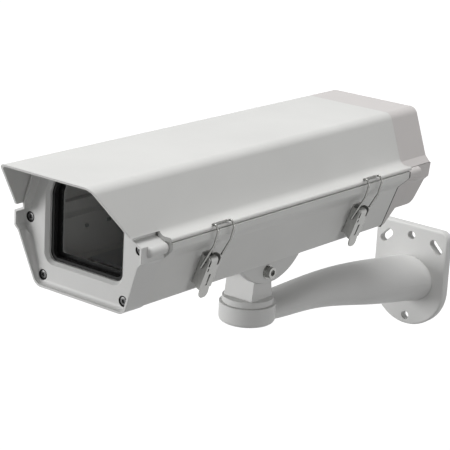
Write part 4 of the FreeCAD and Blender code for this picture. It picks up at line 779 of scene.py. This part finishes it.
fasteners("hinge_tray_cross_screws", "housing", hinge_cross_screw,
          leaf_places(TRAY_LEAF_MIDDLE, TRAY_OUT), zinc, ["hinge_tray_screws"], seed=11)
fasteners("hinge_cover_cross_screws", "cover", hinge_cross_screw,
          leaf_places(COVER_LEAF_MIDDLE, COVER_OUT), zinc, ["hinge_cover_screws"], seed=13)
fasteners("clamp_cross_screws", "housing", clamp_cross_screw,
          seated(CLAMP_PLACES, CLAMP_SEAT, REAR), zinc, ["clamp_screws"], seed=17)
fasteners("saddle_key_screws", "housing", saddle_key_screw,
          [((x, y, SADDLE_SEAT), UP) for x, y in SADDLE_PLACES],
          zinc, ["saddle_screws"], seed=19)

# %% [markdown]
# ## Painted shade: black sleeves round the bezel's screws
#
# Each bezel screw sits in a small black sleeve that lines its counterbore. The sleeve is
# painted shade: its black stands in for the shadow deep in the counterbore, and it is what
# makes the four screws read as dark dots from across a room. The sleeve is a closed ring of
# rings: up the bore, over a rounded lip and down the outside.

# %% Bezel screw sleeves of painted shade
SHADE_SLEEVE_RINGS = [(0.05, circle(3.62)), (2.3, circle(3.62)), (2.75, circle(3.74)), (2.9, circle(3.95)),
          (2.78, circle(4.2)), (2.5, circle(4.34)), (0.05, circle(4.34))]
shade_sleeve = skin("screw_shade_sleeve", SHADE_SLEEVE_RINGS, HEAD_SIDES, closed=True)
# Black sleeves in the counterbores: painted shade for the shadow deep in each bore.
shade_sleeves = fasteners("bezel_screw_sleeves", "housing", shade_sleeve,
                    seated(CASE_PLACES, BEZEL_SEAT, FRONT), rubber, [], seed=23, turn=0.0)

# %% [markdown]
# ## Black border of the pane
#
# The pane's rim carries a printed black border that hides the clamp behind it, and with the
# gasket it gives the window its broad dark frame. A border is the window's outline drawn at two
# insets and two depths, with a skin between. Each corner is an arc, and an arc's radius shrinks
# by the inset, so the border keeps one width all the way round.

# %% Window border
WINDOW_CORNERS = [(39.1, 108.2), (39.1, 163.0), (32.7, 181.6), (-32.7, 181.6), (-39.1, 163.0),
                  (-39.1, 108.2)]
WINDOW_CORNER = 7.0
PANE_REAR = 463.4
BORDER_OUT = -2.4
BORDER_IN = 4.9
BORDER_BACK = 0.03
BORDER_FACE = 0.15
ARC_STEPS = 8


def window_outline(inset):
    """Points round the window, moved in by an inset, with its corners as arcs."""
    count = len(WINDOW_CORNERS)
    points = []
    for place in range(count):
        here = Vector(WINDOW_CORNERS[place])
        before = (Vector(WINDOW_CORNERS[place - 1]) - here).normalized()
        after = (Vector(WINDOW_CORNERS[(place + 1) % count]) - here).normalized()
        half = before.angle(after) / 2
        centre = here + (before + after).normalized() * (WINDOW_CORNER / math.sin(half))
        radius = WINDOW_CORNER - inset
        start = math.atan2(*reversed(here + before * WINDOW_CORNER / math.tan(half) - centre))
        end = math.atan2(*reversed(here + after * WINDOW_CORNER / math.tan(half) - centre))
        sweep = (end - start + math.pi) % (2 * math.pi) - math.pi
        for step in range(ARC_STEPS + 1):
            turn = start + sweep * step / ARC_STEPS
            points.append(centre + Vector((math.cos(turn), math.sin(turn))) * radius)
    return points


def window_border():
    shape = bmesh.new()
    rings = []
    for inset, depth in ((BORDER_OUT, BORDER_BACK), (BORDER_IN, BORDER_BACK),
                         (BORDER_IN, BORDER_FACE), (BORDER_OUT, BORDER_FACE)):
        rings.append([shape.verts.new((point.x * MM, -(PANE_REAR + depth) * MM, point.y * MM))
                      for point in window_outline(inset)])
    for ring, other in zip(rings, rings[1:] + rings[:1]):
        for place in range(len(ring)):
            after = (place + 1) % len(ring)
            shape.faces.new((ring[place], ring[after], other[after], other[place]))
    mesh = as_mesh("window_border", shape)
    mesh.materials.append(rubber)
    piece = add_object("window_border", mesh)
    settle(piece, "housing")


window_border()

# %% [markdown]
# ## Rivets of the draw latches
#
# Each latch base is held by two rivets with low domed heads on the outside and a flat upset
# tail inside the tray's wall. A dome is only a few rings that follow a circle.

# %% Latch rivets
RIVET_HEAD = 2.9
RIVET_RISE = 1.2
RIVET_SHANK = 1.6
RIVET_GRIP = -3.62
RIVET_TAIL = 2.4
RIVET_END = -5.0
DOME_STEPS = 6
DOME_FOOT = 0.15


def dome(head, rise):
    """Rings from near the top of a dome down to its low upright foot."""
    rings = []
    for step in range(1, DOME_STEPS + 1):
        slope = math.pi / 2 * step / DOME_STEPS
        height = rise * math.cos(slope) * (1 - DOME_FOOT) + rise * DOME_FOOT
        rings.append((height, circle(head * math.sin(slope))))
    return rings


rivet_rings = dome(RIVET_HEAD, RIVET_RISE) + [
    (0, circle(RIVET_HEAD)), (0, circle(RIVET_SHANK)), (RIVET_GRIP, circle(RIVET_SHANK)),
    (RIVET_GRIP, circle(RIVET_TAIL)), (-4.7, circle(RIVET_TAIL)), (RIVET_END, circle(2.1))]
rivet = skin("latch_rivet", rivet_rings, HEAD_SIDES, RIVET_RISE, RIVET_END)

LATCH_STATIONS = (401.7, 200.0)
LATCH_PLATE = 1.2
LATCH_ROOT = (63.3, 128.6)
RIVET_DROPS = (18.0, 29.0)
LATCH_OUT = Vector((math.cos(TRAY_LEAN), 0, -math.sin(TRAY_LEAN)))
LATCH_UP = Vector((math.sin(TRAY_LEAN), 0, math.cos(TRAY_LEAN)))


def latch_place(station, out, up):
    """A point of a latch, which leans with the tray's side, in mm."""
    x, z = LATCH_ROOT
    return Vector((x, -station, z)) + LATCH_OUT * out + LATCH_UP * up


fasteners("latch_domed_rivets", "housing", rivet,
          [(latch_place(station, LATCH_PLATE, -down), tuple(LATCH_OUT))
           for station in LATCH_STATIONS for down in RIVET_DROPS],
          stainless, ["latch_rivets"], seed=29)

# %% [markdown]
# ## The wire bails
#
# The bail of each draw latch is one length of spring wire. Both its ends turn in through the
# lever's sides; the two legs rise over the cover's bead and a short bar joins them behind it.
# Wire bends in easy arcs, some long and some short. So a few points give the corners, each
# point carries the radius of its own bend, and the node tree rounds the corners and pulls a
# round section along the path. One path then serves both latches.

# %% Node tree: bent wire
wire_tree, wire_inputs = new_tree("bent_wire", [
    ("Wire Radius", "NodeSocketFloat"), ("Bend Steps", "NodeSocketInt"),
    ("Round Steps", "NodeSocketInt"), ("Finish", "NodeSocketMaterial")])
entry = wire_tree.nodes.new("NodeGroupInput")
line = wire_tree.nodes.new("GeometryNodeMeshToCurve")
bend = wire_tree.nodes.new("GeometryNodeFilletCurve")
bend.mode = "POLY"
bend.inputs["Limit Radius"].default_value = True
section = wire_tree.nodes.new("GeometryNodeCurvePrimitiveCircle")
sweep = wire_tree.nodes.new("GeometryNodeCurveToMesh")
sweep.inputs["Fill Caps"].default_value = True
join = wire_tree.links.new
join(entry.outputs["Geometry"], line.inputs["Mesh"])
join(line.outputs["Curve"], bend.inputs["Curve"])
join(attribute(wire_tree, "bend", "FLOAT"), bend.inputs["Radius"])
join(entry.outputs["Bend Steps"], bend.inputs["Count"])
join(entry.outputs["Wire Radius"], section.inputs["Radius"])
join(entry.outputs["Round Steps"], section.inputs["Resolution"])
join(bend.outputs["Curve"], sweep.inputs["Curve"])
join(section.outputs["Curve"], sweep.inputs["Profile Curve"])
close_tree(wire_tree, entry, sweep.outputs["Mesh"])
print("tree:", wire_tree.name, "nodes:", len(wire_tree.nodes))

# %% Bails
WIRE_RADIUS = 0.9
BEND_STEPS = 8
ROUND_STEPS = 14
BAIL_END = 6.4
BAIL_HALF = 9.7
# Corners of one leg, from the lever's hole to the bar: x, z and the radius of the bend
BAIL_LEG = [(63.61, 112.71, 1.6), (76.8, 135.0, 12.0), (79.8, 146.5, 4.0), (77.0, 151.1, 2.0),
            (72.98, 150.0, 1.6)]


def bail_path(station):
    """Corners of the wire and the radius of each bend, from one end to the other, in mm."""
    x, z, _ = BAIL_LEG[0]
    one_side = [(Vector((x, -BAIL_END, z)), 0.0)]
    one_side += [(Vector((x, -BAIL_HALF, z)), radius) for x, z, radius in BAIL_LEG]
    other_side = [(Vector((place.x, -place.y, place.z)), radius)
                  for place, radius in reversed(one_side)]
    shift = Vector((0, -station, 0))
    return [(place + shift, radius) for place, radius in one_side + other_side]


def wire_bail(name, body, station, stands_for):
    path = bail_path(station)
    corners_mesh = bpy.data.meshes.new(f"{name}_corners")
    corners_mesh.from_pydata([place * MM for place, radius in path],
                             [(k, k + 1) for k in range(len(path) - 1)], [])
    radii = corners_mesh.attributes.new("bend", "FLOAT", "POINT")
    for item, (place, radius) in zip(radii.data, path):
        item.value = radius * MM
    piece = grown(name, corners_mesh, wire_tree, wire_inputs,
                  {"Wire Radius": WIRE_RADIUS * MM, "Bend Steps": BEND_STEPS,
                   "Round Steps": ROUND_STEPS, "Finish": wire_steel})
    settle(piece, body, stands_for)


wire_bail("front_wire_bail", "front_bail", LATCH_STATIONS[0], "front_latch_bail")
wire_bail("rear_wire_bail", "rear_bail", LATCH_STATIONS[1], "rear_latch_bail")

# %% [markdown]
# ## Studs and knurled nuts of the camera sled
#
# Open the cover and the camera sled shows: two threaded studs with knurled nuts, and a knob
# with the camera's own thread. A thread is a ring whose radius follows its angle as well as
# its height, so the crest climbs by one pitch in each turn. A knurl is the same idea without
# the climb.

# %% Threads and knurls
THREAD_SIDES = 20
THREAD_DEPTH = 0.5
THREAD_END = 0.8
RINGS_PER_TURN = 4
KNURL_SIDES = 72
KNURL_TEETH = 24
KNURL_DEPTH = 0.5
KNURL_INSET = 0.2
KNURL_RIM = 0.6


def thread_ring(radius, depth, pitch, height):
    def reach(turn):
        phase = (height / pitch - turn / (2 * math.pi)) % 1.0
        return radius - depth * abs(2 * phase - 1)
    return reach


def threaded_rod(name, radius, pitch, low, high):
    """A rod whose thread is half a pitch deep, with its two ends turned down."""
    steps = int((high - low) / pitch * RINGS_PER_TURN)
    rings = [(low, circle(radius * THREAD_END))]
    for step in range(1, steps):
        height = low + (high - low) * step / steps
        rings.append((height, thread_ring(radius, THREAD_DEPTH * pitch, pitch, height)))
    rings.append((high, circle(radius * THREAD_END)))
    return skin(name, rings, THREAD_SIDES, low, high)


def knurl(radius):
    return lambda turn: radius - KNURL_DEPTH * (0.5 + 0.5 * math.cos(KNURL_TEETH * turn))


def knurled_disc(name, radius, bore, low, high):
    """A knob with knurled sides and chamfered rims, round a bore."""
    side = knurl(radius - KNURL_INSET)
    rings = [(low, circle(bore)), (low, circle(radius - 2 * KNURL_RIM)),
             (low + KNURL_RIM, side), (high - KNURL_RIM, side),
             (high, circle(radius - 2 * KNURL_RIM)), (high, circle(bore))]
    return skin(name, rings, KNURL_SIDES, closed=True)


stud = threaded_rod("sled_stud", radius=2.5, pitch=0.8, low=90.4, high=110.0)
nut = knurled_disc("sled_nut", radius=7.0, bore=2.52, low=102.0, high=108.0)
SLED_STATIONS = (395.0, 215.0)
sled_places = [((0, -station, 0), UP) for station in SLED_STATIONS]
fasteners("threaded_studs", "housing", stud, sled_places, zinc, ["sled_studs"],
          seed=31, turn=0.0)
fasteners("knurled_nuts", "housing", nut, sled_places, knob_black, ["thumb_nuts"],
          seed=37, turn=0.0)

# %% Camera knob
KNOB_STATION = 305.0
knob = knurled_disc("camera_knob_rim", radius=8.0, bore=3.0, low=95.7, high=99.7)
screw_end = threaded_rod("camera_thread", radius=3.15, pitch=1.27, low=95.9, high=107.7)
knob_shape = bmesh.new()
knob_shape.from_mesh(knob)
knob_shape.from_mesh(screw_end)
knob_shape.to_mesh(knob)
knob_shape.free()
fasteners("camera_knob", "sled", knob, [((0, -KNOB_STATION, 0), UP)], zinc, ["camera_screw"],
          seed=41, turn=0.0)

# %% [markdown]
# ## Gland nuts
#
# The three cable glands under the rear step have hex nuts with a domed crown that squeezes the
# seal round a cable. The corners of a moulded or turned nut are chamfered at both ends: each
# ring is the smaller of the hexagon and a circle, and the circle grows and shrinks.

# %% Gland nuts
NUT_SIDES = 48
NUT_ACROSS = 19.0
NUT_TURN = 1.0
DOWN = (0, 0, -1)
GLAND_STATION = 116.0
GLAND_SEAT = 105.0
GLAND_PLACES = [((x, -GLAND_STATION, GLAND_SEAT), DOWN) for x in (-24.0, 0.0, 24.0)]
# Face and chamfer, flats, chamfer, then the dome, its mouth and the bore
nut_rings = [(5.0, circle(7.25)), (5.0, hexagon_ring(NUT_ACROSS, 9.6)),
             (5.8, hexagon_ring(NUT_ACROSS, 10.9)), (11.2, hexagon_ring(NUT_ACROSS, 10.9)),
             (12.0, hexagon_ring(NUT_ACROSS, 9.5)), (12.0, circle(9.0)), (13.4, circle(8.75)),
             (14.8, circle(7.9)), (15.7, circle(6.7)), (16.0, circle(5.6)), (15.6, circle(4.7)),
             (11.0, circle(4.65)), (10.5, circle(7.25))]
gland_nut = skin("gland_dome_nut", nut_rings, NUT_SIDES, closed=True)
fasteners("gland_dome_nuts", "housing", gland_nut, GLAND_PLACES, nylon, ["gland_nuts"],
          seed=43, turn=NUT_TURN)

# %% Count
print("pieces:", len(ROWS), "triangles:", sum(row[2] for row in ROWS))

# %% [markdown]
# ## Size
#
# The pieces must not change the object's size. The box of the bare frame is printed at the
# start, and the box with every piece in place is printed here.

# %% Print the box with the pieces
print("box with the pieces:", corners())
